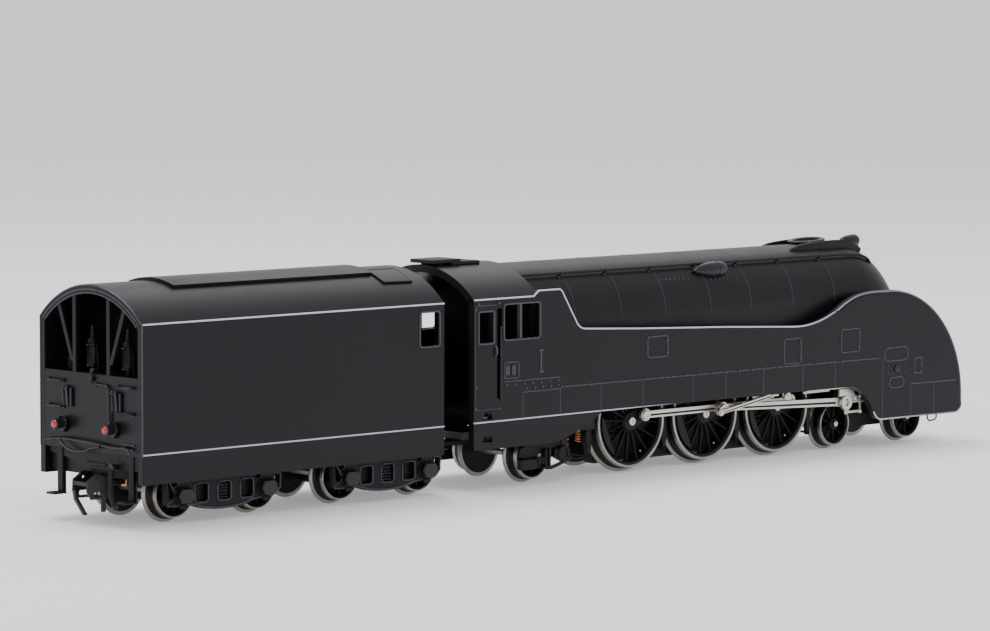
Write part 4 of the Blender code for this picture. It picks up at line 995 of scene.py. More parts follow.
RAIL_LEAN = 39
RAIL_LIFT = 0.4
POSTS = [0.5 + 7.7 * k for k in range(7)]
for name, side in SIDES.items():
    rail = Piece(f"boiler_handrail_{name}", WHEEL, EDGE)
    level = on_boiler(0, side * RAIL_LEAN, RAIL_LIFT)
    line = [(-6.9, level.y * 1.04, level.z - 0.9), (-6.5, level.y, level.z - 0.1), (-6.0, level.y, level.z)]
    line += [(x, level.y, level.z) for x in (10.0, 30.0, 51.0)]
    for bend, lift in ((0.04, 0.4), (0.09, 0.39), (0.14, 0.37), (0.18, 0.33), (0.21, 0.22), (0.235, -0.05)):
        line.append(nose_skin(bend, level.y, lift))
    rail.tube(line, 0.19, sides=10)
    for x in POSTS:
        foot = on_boiler(x, side * RAIL_LEAN, -0.1)
        rail.rod(foot, on_boiler(x, side * RAIL_LEAN, RAIL_LIFT), 0.2, end_radius=0.14, sides=12)
        rail.ball(on_boiler(x, side * RAIL_LEAN, RAIL_LIFT), 0.27)
        rail.ball(on_boiler(x - 0.25, side * (RAIL_LEAN + 3), 0.05), 0.14, 1)
    rail.done("engine", "wheel_black", f"handrail_{name}")

# %% Turret covers, chimney, plates and headlamp
for name, side in SIDES.items():
    cover = Piece(f"turret_{name}", LAMP)
    seat = on_boiler(0, side * 46.5, 0.25)
    profile = curve_through([(0.0, 22.9), (0.38, 23.5), (0.72, 24.5), (0.94, 25.6), (1.0, 26.6)], 5)
    profile += [(1.0, 26.75), (0.93, 26.8), (0.93, 26.9), (1.0, 26.95)]
    profile += curve_through([(1.0, 27.1), (0.96, 27.7), (0.8, 28.3), (0.45, 28.7), (0.0, 28.82)], 4)
    cover.turned(profile, along_x(seat.y, seat.z), steps=28)
    cover.done("engine", "lamp_black", f"turret_cover_{name}", smooth=40)

top = Piece("chimney_ring", LAMP, WHEEL)
CHIMNEY_X = 49.3
ring_place = (Matrix.Translation((CHIMNEY_X, 0, 26.75)) @ Matrix.Rotation(radians(-4.5), 4, "Y")
    @ Matrix.Diagonal((1.05, 0.95, 1, 1)))
top.turned([(1.75, -0.16), (2.4, -0.16), (2.45, 0.0), (2.36, 0.14), (2.0, 0.16), (1.78, 0.06),
    (1.75, -0.16)], ring_place, 0, 40)
top.turned([(1.5, -0.9), (1.95, -0.9), (1.95, -0.1), (1.78, -0.1), (1.6, -0.6), (1.5, -0.9)],
    ring_place, 1, 32)
top.turned([(0, 25.9), (1.7, 25.9), (1.7, 26.3), (0, 26.3)], Matrix.Translation((CHIMNEY_X, 0, 0)), 1, 32)
top.done("engine", "body_black", "chimney_cowl")
for name, side in SIDES.items():
    wing = Piece(f"chimney_plate_{name}", WHEEL)
    outline = curve_through([(42.6, 25.3), (43.4, 25.95), (44.9, 26.4), (47.0, 26.62), (50.2, 26.78),
        (52.6, 26.78), (54.4, 26.5), (55.6, 26.05), (56.8, 25.5)], 4)
    outline += [(56.4, 24.6), (50.0, 24.6), (43.0, 24.6)]
    wing.plate("XZ", outline, (side * 2.45, side * 2.85), bevel=0.08)
    wing.done("engine", "wheel_black", f"smoke_plate_{name}")
lamp = Piece("headlamp_case", LAMP, RIM)
shape = curve_through([(0.0, 55.7), (0.4, 56.0), (0.66, 56.7), (0.8, 57.5), (0.84, 58.1)], 5)
shape += curve_through([(0.84, 58.25), (0.8, 58.6), (0.62, 58.95), (0.3, 59.12), (0.0, 59.16)], 4)
lamp.turned(shape, along_x(0, 26.32), steps=28)
lamp.plate("XZ", [(56.6, 24.4), (56.9, 26.2), (58.8, 26.2), (59.0, 25.2), (58.9, 24.2)],
    (-0.5, 0.5), bevel=0.1)
lamp.done("engine", "lamp_black", "headlamp")

# %% [markdown]
# ## Wheels
# A model wheel is a black moulded centre in a plated tyre: the tyre's face shows as a
# thin silver ring, the tread is near-black metal as a painted reflection of the dark
# surroundings, and the flange shows as a second ring behind it.
# Each of these is its own turned shape, so each takes its own finish. The spokes come
# from the spoke tree, which sets one tapered bar round every wheel centre.

# %% Wheel sizes
RAIL_TOP = 0.6
DRIVER_R = 5.73
SMALL_R = 2.75
DRIVER_Z = RAIL_TOP + DRIVER_R
SMALL_Z = RAIL_TOP + SMALL_R
DRIVER_X = {1: 37.85, 2: 24.8, 3: 11.75}
CRANK_THROW = 1.9
CRANK_TURN = {"right": radians(23.4), "left": radians(113.4)}


def crank_pin(name, x):
    turn = CRANK_TURN[name]
    return x + CRANK_THROW * cos(turn), DRIVER_Z + CRANK_THROW * sin(turn)


def tyre(piece, x, z, side, radius, steps, ring_width):
    """Black rim, silver face ring, near-black metal tread as a painted reflection, and silver flange, out
    along y.
    """
    place = along_y(x, z, side)
    inner = radius - ring_width
    base = inner - 0.55 * ring_width - 0.12
    piece.turned([(base, 3.78), (base, 5.5), (base + 0.1, 5.6), (inner - 0.04, 5.66), (inner - 0.04, 4.5),
        (radius + 0.12, 3.95), (radius + 0.12, 3.75), (base, 3.78)], place, 0, steps)
    piece.turned([(inner - 0.08, 5.2), (inner, 5.68), (inner + 0.06, 5.73), (radius - 0.06, 5.73),
        (radius, 5.66), (radius, 5.2), (inner - 0.08, 5.2)], place, 1, steps)
    piece.turned([(inner - 0.06, 5.24), (radius - 0.015, 5.24), (radius + 0.03, 4.45),
        (radius + 0.25, 4.22), (radius + 0.25, 4.1), (inner - 0.06, 4.1), (inner - 0.06, 5.24)],
        place, 2, steps)
    piece.turned([(radius + 0.06, 4.2), (radius + 0.3, 4.2), (radius + 0.56, 4.02), (radius + 0.6, 3.9),
        (radius + 0.5, 3.76), (radius + 0.1, 3.76), (radius + 0.06, 4.2)], place, 1, steps)


def axle_end(piece, x, z, side, reach, radius, hub):
    """Raised hub with the bright turned end of the axle and its centre mark."""
    place = along_y(x, z, side)
    piece.turned([(0, reach - 1.4), (hub, reach - 1.4), (hub, reach - 0.5), (hub * 0.9, reach - 0.38),
        (hub * 0.62, reach - 0.34), (hub * 0.58, reach - 0.2), (0, reach - 0.2)], place, 0, 28)
    piece.turned([(0, reach - 0.3), (radius, reach - 0.3), (radius, reach - 0.04), (radius - 0.05, reach),
        (radius * 0.35, reach), (radius * 0.2, reach - 0.12), (0, reach - 0.14)], place, 3, 24)


def spokes(name, centres, count, inner, outer, root, tip, depth, body, phase=0.0):
    return grown(name, SPOKE_TREE, [[centre] for centre in centres], {"Count": count, "Inner": inner * MM,
        "Length": (outer - inner) * MM, "Root": root * MM, "Tip": tip * MM, "Depth": depth, "Phase": phase},
        WHEEL, body)


# %% Driving wheels
COUPLING_Y = (6.12, 6.62)
MAIN_Y = (6.84, 7.28)
ARM_Y = (7.42, 7.64)
OUTER_Y = (7.76, 8.08)
RETURN_OFFSET = {"right": (0.55, 0.3), "left": (-0.3, 0.55)}

for number, x in DRIVER_X.items():
    body = f"driver_{number}"
    wheels = Piece(f"driving_wheels_{number}", WHEEL, RIM, SHADE_DARK_METAL, NICKEL, STEEL)
    wheels.rod((x, -4.2, DRIVER_Z), (x, 4.2, DRIVER_Z), 0.9, 4)
    for name, side in SIDES.items():
        tyre(wheels, x, DRIVER_Z, side, DRIVER_R, 64, 0.34)
        axle_end(wheels, x, DRIVER_Z, side, 5.98, 0.52, 1.25)
        pin_x, pin_z = crank_pin(name, x)
        crank_way = degrees(CRANK_TURN[name])
        span = (side * 4.75, side * 5.55)
        heavy = 3.1 if number == 2 else 2.6
        reach = degrees(heavy / 4.9)
        crescent = arc((x, DRIVER_Z), 4.85, crank_way + 180 - reach - 6, crank_way + 180 + reach + 6, 14)
        wheels.plate("XZ", crescent, span, 0, 0.08)
        wheels.plate("XZ", stadium((x, DRIVER_Z), (pin_x, pin_z), 1.15, 0.85, 12),
            (side * 4.8, side * 5.72), 0, 0.08)
        wheels.turned([(0, 5.6), (0.78, 5.6), (0.78, 5.93), (0.7, 6.0), (0, 6.0)],
            along_y(pin_x, pin_z, side), 0, 24)
        if name == "right":
            screw_x, screw_z = arc((x, DRIVER_Z), 4.25, -64, -64, 1)[0]
            wheels.ball((screw_x, side * 5.42, screw_z), 0.15, 1, (1, 0.5, 1))
        if number == 2:
            end_x, end_z = (x + RETURN_OFFSET[name][0], DRIVER_Z + RETURN_OFFSET[name][1])
            wheels.rod((pin_x, side * 5.9, pin_z), (pin_x, side * 7.5, pin_z), 0.4, 3)
            wheels.plate("XZ", stadium((pin_x, pin_z), (end_x, end_z), 0.56, 0.4, 12),
                (side * ARM_Y[0], side * ARM_Y[1]), 3, 0.04)
            wheels.turned([(0, 7.5), (0.34, 7.5), (0.34, 7.72), (0.2, 7.74), (0.2, 8.1), (0.3, 8.12),
                (0.3, 8.16), (0.16, 8.2), (0, 8.2)], along_y(end_x, end_z, side), 3, 20)
            wheels.ball((pin_x, side * 7.62, pin_z), 0.22, 3, (1, 0.5, 1))
        else:
            wheels.turned([(0, 5.9), (0.4, 5.9), (0.4, 6.64), (0.62, 6.66), (0.62, 6.74), (0.55, 6.79),
                (0.3, 6.8), (0.22, 6.74), (0, 6.73)], along_y(pin_x, pin_z, side), 3, 24)
    wheels.done(body, "wheel_black", f"driver_wheelset_{number}", smooth=28)
    centres = [(x, side * 5.12, DRIVER_Z) for side in BOTH]
    spokes(f"driving_spokes_{number}", centres, 16, 1.0, 5.0, 0.21, 0.125, 1.7, body, 0.09)

# %% Carrying wheels of the trucks and bogies
CARRYING = {
    "lead_wheelset_front": (62.7, "lead_wheels_front", 5.98),
    "lead_wheelset_rear": (48.8, "lead_wheels_rear", 5.98),
    "trail_wheelset": (-5.0, "trail_wheels", 5.9),
    "rear_bogie_wheelset_rear": (-60.4, "bogie_rear_wheels_rear", 5.9),
    "rear_bogie_wheelset_front": (-48.3, "bogie_rear_wheels_front", 5.9),
    "front_bogie_wheelset_rear": (-35.75, "bogie_front_wheels_rear", 5.9),
    "front_bogie_wheelset_front": (-23.65, "bogie_front_wheels_front", 5.9),
}
for node_name, (x, body, reach) in CARRYING.items():
    wheels = Piece(f"wheels_{node_name}", WHEEL, RIM, SHADE_DARK_METAL, NICKEL, STEEL)
    stub = 4.2 if "lead" in node_name else 6.95
    wheels.rod((x, -stub, SMALL_Z), (x, stub, SMALL_Z), 0.38, 4)
    for side in BOTH:
        tyre(wheels, x, SMALL_Z, side, SMALL_R, 44, 0.2)
        axle_end(wheels, x, SMALL_Z, side, reach, 0.34, 0.72)
        wheels.turned([(0.3, 3.82), (2.3, 3.82), (2.3, 4.3), (0.3, 4.3), (0.3, 3.82)],
            along_y(x, SMALL_Z, side), 0, 28)
    wheels.done(body, "wheel_black", node_name, smooth=28)
    centres = [(x, side * 5.05, SMALL_Z) for side in BOTH]
    spokes(f"spokes_{node_name}", centres, 9, 0.55, 2.3, 0.17, 0.12, 1.6, body, 0.2)

# %% [markdown]
# ## Rods and valve gear
# The rods are stamped from nickel silver with a milled groove down the middle. A rod
# here is a thin web with a rib along its top and bottom edge and a thicker eye at
# each pin, so the groove is real and catches light as the stamping does. The web at
# the groove's floor is near-black metal, as painted shade in the groove.

# %% Fluted rods
def fluted(piece, start, end, start_half, end_half, side, span):
    """A grooved bar from start to end in (x, z)."""
    start, end = Vector(start), Vector(end)
    along = (end - start).normalized()
    over = Vector((-along.y, along.x))
    inner, outer = side * span[0], side * span[1]
    web = side * (span[0] + 0.55 * (span[1] - span[0]))

    def strip(low_start, high_start, low_end, high_end, depth, coat):
        corners = [start + over * low_start, end + over * low_end, end + over * high_end, start
            + over * high_start]
        piece.plate("XZ", [tuple(corner) for corner in corners], (inner, depth), coat, 0.015)
    # The groove's floor takes coat 1, near-black metal as painted shade.
    strip(0.1 - start_half, start_half - 0.1, 0.1 - end_half, end_half - 0.1, web, 1)
    for sign, rib in ((-1, 0.55 * start_half), (1, 0.95 * start_half)):
        edges = sorted((sign * start_half, sign * (start_half - rib)))
        far = sorted((sign * end_half, sign * (end_half - rib * end_half / start_half)))
        strip(edges[0], edges[1], far[0], far[1], outer, 0)
    return piece


def eye(piece, x, z, side, span, radius, bore, coat=0):
    low, high = span
    piece.turned([(bore, low), (radius, low), (radius, high - 0.05), (radius - 0.06, high), (bore, high),
        (bore, low)], along_y(x, z, side), coat, 28)


MAIN_ROD = 22.3
for name, side in SIDES.items():
    pins = [crank_pin(name, DRIVER_X[number]) for number in (3, 2, 1)]
    rod = Piece(f"coupling_rod_{name}_bar", NICKEL, SHADE_DARK_METAL)
    for near, far in zip(pins, pins[1:]):
        fluted(rod, (near[0] + 0.6, near[1]), (far[0] - 0.6, far[1]), 0.44, 0.42, side, (6.14, 6.6))
    for x, z in pins:
        eye(rod, x, z, side, COUPLING_Y, 0.8, 0.42)
    rod.done(f"coupling_rod_{name}", "nickel", f"coupling_rod_{name}")

    big = pins[1]
    small = (big[0] + MAIN_ROD, big[1] - (0.75 if side < 0 else 0.0))
    rod = Piece(f"main_rod_{name}_bar", NICKEL, SHADE_DARK_METAL)
    eye(rod, *big, side, MAIN_Y, 0.78, 0.42)
    rod.plate("XZ", [(big[0] + 0.55, big[1] - 0.5), (big[0] + 2.2, big[1] - 0.42),
        (big[0] + 2.2, big[1] + 0.38), (big[0] + 0.55, big[1] + 0.5)],
        (side * MAIN_Y[0], side * MAIN_Y[1]), 0, 0.04)
    lean = (small[1] - big[1]) / MAIN_ROD
    fluted(rod, (big[0] + 2.0, big[1] + 2.0 * lean), (small[0] - 0.9, small[1] - 0.9 * lean), 0.4,
        0.54, side, MAIN_Y)
    rod.plate("XZ", [(small[0] - 1.5, small[1] - 0.5), (small[0] - 0.5, small[1] - 0.66),
        (small[0] + 0.2, small[1] - 0.6), (small[0] + 0.5, small[1]), (small[0] + 0.2, small[1] + 0.6),
        (small[0] - 0.5, small[1] + 0.66), (small[0] - 1.5, small[1] + 0.5)],
        (side * MAIN_Y[0], side * (MAIN_Y[1] + 0.02)), 0, 0.05)
    rod.done(f"main_rod_{name}", "nickel", f"main_rod_{name}")

    start = (DRIVER_X[2] + RETURN_OFFSET[name][0], DRIVER_Z + RETURN_OFFSET[name][1])
    end = (start[0] + 9.3, 8.15)
    rod = Piece(f"eccentric_rod_{name}_bar", NICKEL, SHADE_DARK_METAL)
    eye(rod, *start, side, OUTER_Y, 0.46, 0.22)
    fluted(rod, (start[0] + 0.35, start[1] + 0.05), end, 0.24, 0.26, side, OUTER_Y)
    eye(rod, *end, side, OUTER_Y, 0.34, 0.12)
    rod.ball((end[0], side * OUTER_Y[1], end[1]), 0.2, 0, (1, 0.5, 1))
    rod.done(f"eccentric_rod_{name}", "nickel", f"eccentric_rod_{name}")

# %% Slide bars, links and crossheads
CROSSHEAD_X = 48.84
for name, side in SIDES.items():
    bars = Piece(f"slide_bars_{name}", NICKEL, FRAME)
    bars.box((40.6, side * 7.46, 8.12), (53.4, side * 7.9, 8.38), 0, 0.04)
    bars.box((41.0, side * 7.3, 7.86), (45.9, side * 7.42, 8.06), 0, 0.03)
    bars.box((31.4, side * 7.44, 7.95), (36.2, side * 7.64, 8.2), 0, 0.03)
    bars.box((31.2, side * 7.42, 8.6), (40.7, side * 7.62, 8.9), 0, 0.03)
    bars.turned([(0, 7.3), (0.52, 7.3), (0.52, 7.9), (0.42, 7.98), (0.24, 7.98), (0.2, 8.05), (0, 8.05)],
        along_y(37.6, 7.85, side), 0, 24)
    bars.box((36.9, side * 7.4, 7.9), (38.3, side * 7.7, 8.5), 0, 0.04)
    bars.box((40.5, side * 7.44, 8.2), (41.1, side * 7.92, 12.3), 1)
    bars.box((53.0, side * 6.6, 7.9), (53.6, side * 8.0, 8.5), 1, 0.05)
    bars.done("engine", "nickel", f"slide_bar_{name}")

    head = Piece(f"crosshead_{name}_block", NICKEL)
    x, z = CROSSHEAD_X, DRIVER_Z
    head.turned([(0.42, 7.44), (0.98, 7.44), (0.98, 7.86), (0.9, 7.93), (0.5, 7.93), (0.42, 7.86),
        (0.42, 7.44)], along_y(x - 0.1, z - 0.05, side), 0, 32)
    head.turned([(0, 7.44), (0.36, 7.44), (0.36, 7.7), (0.2, 7.76), (0, 7.76)],
        along_y(x - 0.1, z - 0.05, side), 0, 20)
    head.box((x - 1.5, side * 7.44, 7.12), (x + 1.35, side * 7.9, 8.06), 0, 0.06)
    head.box((x - 0.2, side * 7.46, 6.9), (x + 1.5, side * 7.86, 7.3), 0, 0.05)
    head.plate("XZ", [(x - 0.95, 6.1), (x - 0.2, 4.85), (x + 0.15, 4.95), (x + 0.55, 5.6)],
        (side * 7.46, side * 7.8), 0, 0.03)
    head.turned([(0, 7.44), (0.4, 7.44), (0.4, 7.92), (0.3, 7.97), (0, 7.97)],
        along_y(x + 1.75, 6.75, side), 0, 20)
    head.box((x - 0.3, side * 7.5, 4.86), (x + 2.7, side * 7.8, 5.16), 0, 0.03)
    head.box((x + 2.42, side * 7.5, 5.0), (x + 2.7, side * 7.8, 7.1), 0, 0.03)
    head.box((x + 0.9, side * 7.5, 6.55), (x + 2.65, side * 7.8, 6.85), 0, 0.03)
    for place in ((x - 0.15, 5.0), (x + 2.56, 5.0), (x + 2.56, 7.0)):
        head.ball((place[0], side * 7.72, place[1]), 0.3, 0, (1, 0.75, 1))
    head.rod((x + 0.8, side * 7.6, z), (x + 7.8, side * 7.6, z), 0.2)
    head.done(f"crosshead_{name}", "nickel", f"crosshead_{name}")

# %% [markdown]
# ## Under the engine
# Between the wheels one sees black brake hangers, the trailing truck's outside frame
# and a few bright bits: a copper spring and brass contacts.

# %% Brake hangers, sand pipes and bright bits
under = Piece("brake_gear", FRAME)
for x in (18.3, 31.35, 5.2, 44.6):
    for side in BOTH:
        under.plate("XZ", [(x - 0.35, 8.2), (x - 0.5, 4.6), (x - 0.2, 2.2), (x + 0.25, 2.2), (x + 0.4, 4.6),
            (x + 0.35, 8.2)], (side * 4.4, side * 5.0), 0, 0.05)
        under.plate("XZ", [(x - 0.55, 5.8), (x - 0.75, 5.0), (x - 0.6, 3.9), (x - 0.1, 3.7),
            (x - 0.1, 6.0)], (side * 4.3, side * 5.2), 0, 0.05)
    under.rod((x, -5.0, 2.5), (x, 5.0, 2.5), 0.16)
under.box((45.2, -7.6, 8.5), (53.4, 7.6, 9.0))
under.box((6.9, -2.6, 5.0), (8.3, 2.6, 8.6), 0, 0.2)
for side in BOTH:
    under.box((7.6, side * 1.3, 1.15), (43.6, side * 3.3, 4.9), 0, 0.3)
    under.box((-7.2, side * 8.2, 6.2), (3.0, side * 7.9, 8.4))
    under.box((60.6, side * 6.3, 4.0), (61.1, side * 6.6, 8.0))
    under.tube([(62.9, side * 9.1, 4.5), (62.95, side * 9.1, 3.35), (63.25, side * 9.1, 3.0),
        (64.3, side * 9.1, 3.05), (64.7, side * 9.1, 3.35), (64.75, side * 9.1, 4.5)], 0.11)
under.done("engine", "frame_black")
bits = Piece("contact_bits", BRASS, COPPER)
for side in BOTH:
    bits.box((1.0, side * 4.75, 4.75), (1.7, side * 5.0, 4.87), 1)
    bits.box((3.1, side * 4.75, 5.6), (3.6, side * 5.0, 5.75), 0, 0.04)
bits.done("engine", "nickel")
grown("truck_springs", COIL_TREE, [[(3.35, side * 4.9, 4.35)] for side in BOTH],
    {"Turns": 4.0, "Radius": 0.3 * MM, "Height": 1.2 * MM, "Wire": 0.085 * MM}, COPPER, "engine")
grown("small_truck_springs", COIL_TREE, [[(1.4, side * 4.9, 3.86)] for side in BOTH],
    {"Turns": 3.0, "Radius": 0.22 * MM, "Height": 0.52 * MM, "Wire": 0.07 * MM}, COPPER, "engine")

# %% Trailing truck's outside frame
truck = Piece("trailing_frame", FRAME)
truck.plate("XY", [(6.5, -1.3), (6.5, 1.3), (1.6, 3.0), (-0.4, 7.0), (-1.4, 7.0), (-1.4, -7.0),
    (-0.4, -7.0), (1.6, -3.0)], (4.55, 5.25))
for side in BOTH:
    inner, outer = side * 6.4, side * 7.2
    truck.plate("XZ", [(-8.4, 3.4), (-8.2, 4.5), (-6.4, 5.2), (-0.6, 5.2), (-0.2, 4.6), (-0.4, 3.9),
        (-2.2, 4.0), (-2.8, 3.2), (-4.0, 2.6), (-6.0, 2.6), (-6.4, 3.2)], (inner, side * 6.9), 0, 0.05)
    truck.box((-8.6, side * 6.7, 2.0), (-6.1, side * 7.6, 3.25), 0, 0.08)
    truck.box((-6.0, side * 6.9, 2.5), (-4.6, side * 7.45, 3.35), 0, 0.06)
    for dx in (-5.65, -5.0):
        for dz in (2.72, 3.1):
            truck.ball((dx, side * 7.46, dz), 0.13)
    for dx in (-4.4, -3.8):
        truck.box((dx - 0.16, side * 6.9, 2.0), (dx + 0.16, side * 7.5, 4.3), 0, 0.04)
    truck.turned([(0, 6.6), (0.95, 6.6), (0.95, 7.5), (0.8, 7.62), (0.62, 7.62), (0.58, 7.5), (0, 7.5)],
        along_y(-1.5, 3.55, side), 0, 24)
    truck.box((-2.9, side * 6.8, 3.0), (-0.3, side * 7.4, 4.2), 0, 0.12)
    truck.tube([(-4.3, side * 7.3, 2.0), (-3.4, side * 7.3, 1.95), (-2.0, side * 7.3, 2.3),
        (-0.6, side * 7.3, 2.75), (-0.2, side * 7.3, 3.1)], 0.24)
    truck.box((-5.95, side * 6.3, 1.95), (-4.05, side * 6.9, 2.7), 0, 0.06)
truck.done("trail_truck", "frame_black", "trail_truck")

# %% [markdown]
# ## Tender body
# The tender repeats the cab's section: straight sides, an arched roof and a silver
# line at the eave and above the skirt. Its rear is open above an end panel, with an
# arched frame, two posts and two slanting braces.

# %% Tender shell
TENDER_FRONT = -22.75
TAIL_X = -67.74
TENDER_EAVE = 22.9
TENDER_APEX = 26.9
shell = Piece("tender_skin", BODY, ROOM_SHADE)
TENDER_WINDOW = rounded(-26.6, -23.45, 17.95, 22.05, 0.4)
for side in BOTH:
    wall = Piece("wall", BODY).box((TAIL_X + 0.04, side * (HALF_WIDTH - WALL), 5.1),
        (TENDER_FRONT, side * HALF_WIDTH, TENDER_EAVE))
    wall.cut(Piece("tool", BODY).plate("XZ", TENDER_WINDOW, (side * 7.5, side * 10.0)))
    shell.take(wall.bm)
outer, inner = roof_arc(TENDER_EAVE, TENDER_APEX), roof_arc(TENDER_EAVE, TENDER_APEX, WALL)
shell.plate("YZ", outer + inner[::-1], (TAIL_X + 0.04, TENDER_FRONT))
# Near-black walls inside the tender: painted shade behind its windows.
room = [(8.34, 9.3), *roof_arc(TENDER_EAVE, TENDER_APEX, WALL + 0.02), (-8.34, 9.3)]
for x in (-61.8, -28.4):
    shell.plate("YZ", room, (x, x + 0.6), 1)
shell.done("tender", "body_black", "tender_shell", even=True)

tender_lines = []
for side in BOTH:
    tender_lines.append([(TAIL_X + 0.05, side * (HALF_WIDTH - 0.02), TENDER_EAVE),
        (TENDER_FRONT, side * (HALF_WIDTH - 0.02), TENDER_EAVE)])
    tender_lines.append([(TAIL_X + 0.05, side * (HALF_WIDTH - 0.02), TRIM_Z),
        (TENDER_FRONT, side * (HALF_WIDTH - 0.02), TRIM_Z)])
beads("tender_silver_lines", tender_lines, 0.1, TRIM_PAINT, "tender")
sill = [on_side(TENDER_WINDOW + TENDER_WINDOW[:1], side, FACE + 0.01) for side in BOTH]
beads("tender_window_rims", sill, 0.12, EDGE, "tender")

# %% Roof cover and hatch
roof_rise = TENDER_APEX - TENDER_EAVE
ROOF_RADIUS = (HALF_WIDTH ** 2 + roof_rise ** 2) / (2 * roof_rise)
ROOF_CENTRE_Z = TENDER_APEX - ROOF_RADIUS


def on_roof(x, y, lift=0.0):
    lean = asin(y / ROOF_RADIUS)
    return Vector((x, (ROOF_RADIUS + lift) * sin(lean), ROOF_CENTRE_Z + (ROOF_RADIUS + lift) * cos(lean)))


def roof_strip(y_from, y_to, lift, steps=24):
    ys = [y_from + (y_to - y_from) * i / steps for i in range(steps + 1)]
    top = [on_roof(0, y, lift) for y in ys]
    foot = [on_roof(0, y, -0.1) for y in ys[::-1]]
    return [(point.y, point.z) for point in top + foot]


cover = Piece("tender_ridge_cover", BODY)
cover.plate("YZ", roof_strip(-4.0, 4.0, 0.36), (-59.2, -29.5), 0, 0.08)
cover.done("tender", "body_black", "ridge_cover", smooth=20)
hatch = Piece("tender_roof_hatch", BODY)
hatch.plate("YZ", roof_strip(-6.05, -2.95, 0.2), (-29.2, -25.15), 0, 0.05)
hatch.done("tender", "body_black", "roof_hatch", smooth=20)
hatch_rim = [on_roof(-29.3, -0.3 * k, 0.12) for k in range(0, 21)] + [on_roof(-25.1, -6.1, 0.12)]
hatch_rim += [on_roof(-25.1, -6.1 + 0.3 * k, 0.12) for k in range(1, 12)] + [on_roof(-29.2, -2.8, 0.12)]
beads("hatch_rim", [hatch_rim], 0.13, BODY, "tender")

# %% Rear frame and end panel
SILL_Z = 16.9
end = Piece("tender_rear_frame", BODY)
REAR = (TAIL_X, TAIL_X + 0.7)
outer_arc, inner_arc = roof_arc(TENDER_EAVE, TENDER_APEX, 0.03), roof_arc(TENDER_EAVE, TENDER_APEX, 1.05)
end.plate("YZ", outer_arc + inner_arc[::-1], REAR)
for side in BOTH:
    end.plate("YZ", [(side * 9.22, 5.15), (side * 9.22, TENDER_EAVE - 0.02),
        (side * 8.4, TENDER_EAVE - 0.1), (side * 8.4, 5.15)], REAR)
    end.box((TAIL_X + 0.05, side * 2.75, SILL_Z - 0.2), (TAIL_X + 0.6, side * 3.35, 25.9), 0, 0.04)
    end.plate("YZ", [(side * 3.15, 18.0), (side * 3.75, 18.1), (side * 6.3, 24.6), (side * 5.7, 24.8)],
        (TAIL_X + 0.08, TAIL_X + 0.55), 0, 0.04)
end.box((TAIL_X + 0.02, -8.4, 8.2), (TAIL_X + 0.6, 8.4, SILL_Z))
end.box((TAIL_X + 0.3, -8.4, SILL_Z - 0.5), (-61.4, 8.4, SILL_Z - 0.1))
end.done("tender", "body_black", "tender_end_frame", even=True)
lips = [[(TAIL_X, y, z) for y, z in roof_arc(TENDER_EAVE, TENDER_APEX, inset)]
    for inset in (0.1, 0.55, 0.98)]
lips += [[(TAIL_X, side * (HALF_WIDTH - 0.06), 8.2), (TAIL_X, side * (HALF_WIDTH - 0.06), TENDER_EAVE)]
    for side in BOTH]
beads("rear_frame_lips", lips, 0.08, EDGE, "tender")

# %% Pumps and pipework in the rear bay
BAY_X = -64.85
pumps = {"right": -3.1, "left": 3.3}
for name, y in pumps.items():
    pump = Piece(f"steam_pump_{name}", LAMP, FRAME)
    at = Matrix.Translation((BAY_X, y, 0))
    pump.turned([(0, 16.6), (0.35, 16.6), (0.35, 17.2), (0.55, 17.3), (0.8, 17.36), (0.8, 17.55),
        (0.6, 17.6), (0.58, 18.6), (0.58, 19.6), (0.62, 19.65), (0.8, 19.7), (0.8, 19.88), (0.5, 19.95),
        (0.48, 20.15), (0.6, 20.2), (0.58, 20.35), (0.35, 20.6), (0.26, 20.75), (0.26, 21.3), (0.18, 21.4),
        (0.18, 21.9), (0, 21.95)], at, 0, 24)
    for k in range(10):
        turn = 2 * pi * k / 10
        foot = Vector((BAY_X + 0.6 * cos(turn), y + 0.6 * sin(turn), 17.65))
        pump.rod(foot, foot + Vector((0, 0, 1.95)), 0.07, 0, sides=6)
    pump.rod((BAY_X, y - 0.9, 19.1), (BAY_X, y + 0.9, 19.1), 0.16, 1)
    pump.tube([(BAY_X, y - 0.85, 19.1), (BAY_X, y - 0.95, 18.0), (BAY_X, y - 0.95, 16.5)], 0.13, 1)
    pump.done("tender", "frame_black", f"pump_{name}", smooth=35)

# %% Floor, end beam and filler
base = Piece("tender_underframe", FRAME, BRASS)
base.box((-66.4, -8.3, 8.4), (-24.0, 8.3, 9.3))
base.box((-66.0, -2.6, 7.2), (-24.6, 2.6, 8.8))
beam_outline = [(8.2, 8.75), (8.2, 7.5), (5.4, 7.2), (1.8, 6.2), (-4.0, 6.2), (-6.2, 6.45),
    (-8.2, 6.5), (-8.2, 8.75)]
base.plate("YZ", beam_outline, (-67.3, -66.85), 0, 0.05)
base.box((-66.9, -7.6, 5.4), (-66.2, 7.6, 8.6))
base.box((-67.42, -2.2, 6.55), (-67.25, 1.5, 6.95), 0, 0.04)
for y in (7.0, 4.6, -5.0, -5.9):
    base.rod((-67.45, y, 8.2), (-67.2, y, 8.2), 0.16, sides=12)
for y in (-6.6, -7.2):
    for z in (7.0, 7.45, 7.9):
        base.ball((-67.3, y, z), 0.1)
for side in BOTH:
    base.box((-66.85, side * 7.6, 5.5), (-66.4, side * 8.25, 8.6))
for x in (-54.35, -29.7):
    base.rod((x, 0, 4.75), (x, 0, 7.6), 0.8)
for x in (-26.0, -64.6):
    base.rod((x, 0, 4.5), (x, 0, 7.6), 0.5)
base.rod((-62.9, 0.0, 3.9), (-62.9, 0.0, 4.7), 0.45, 1)
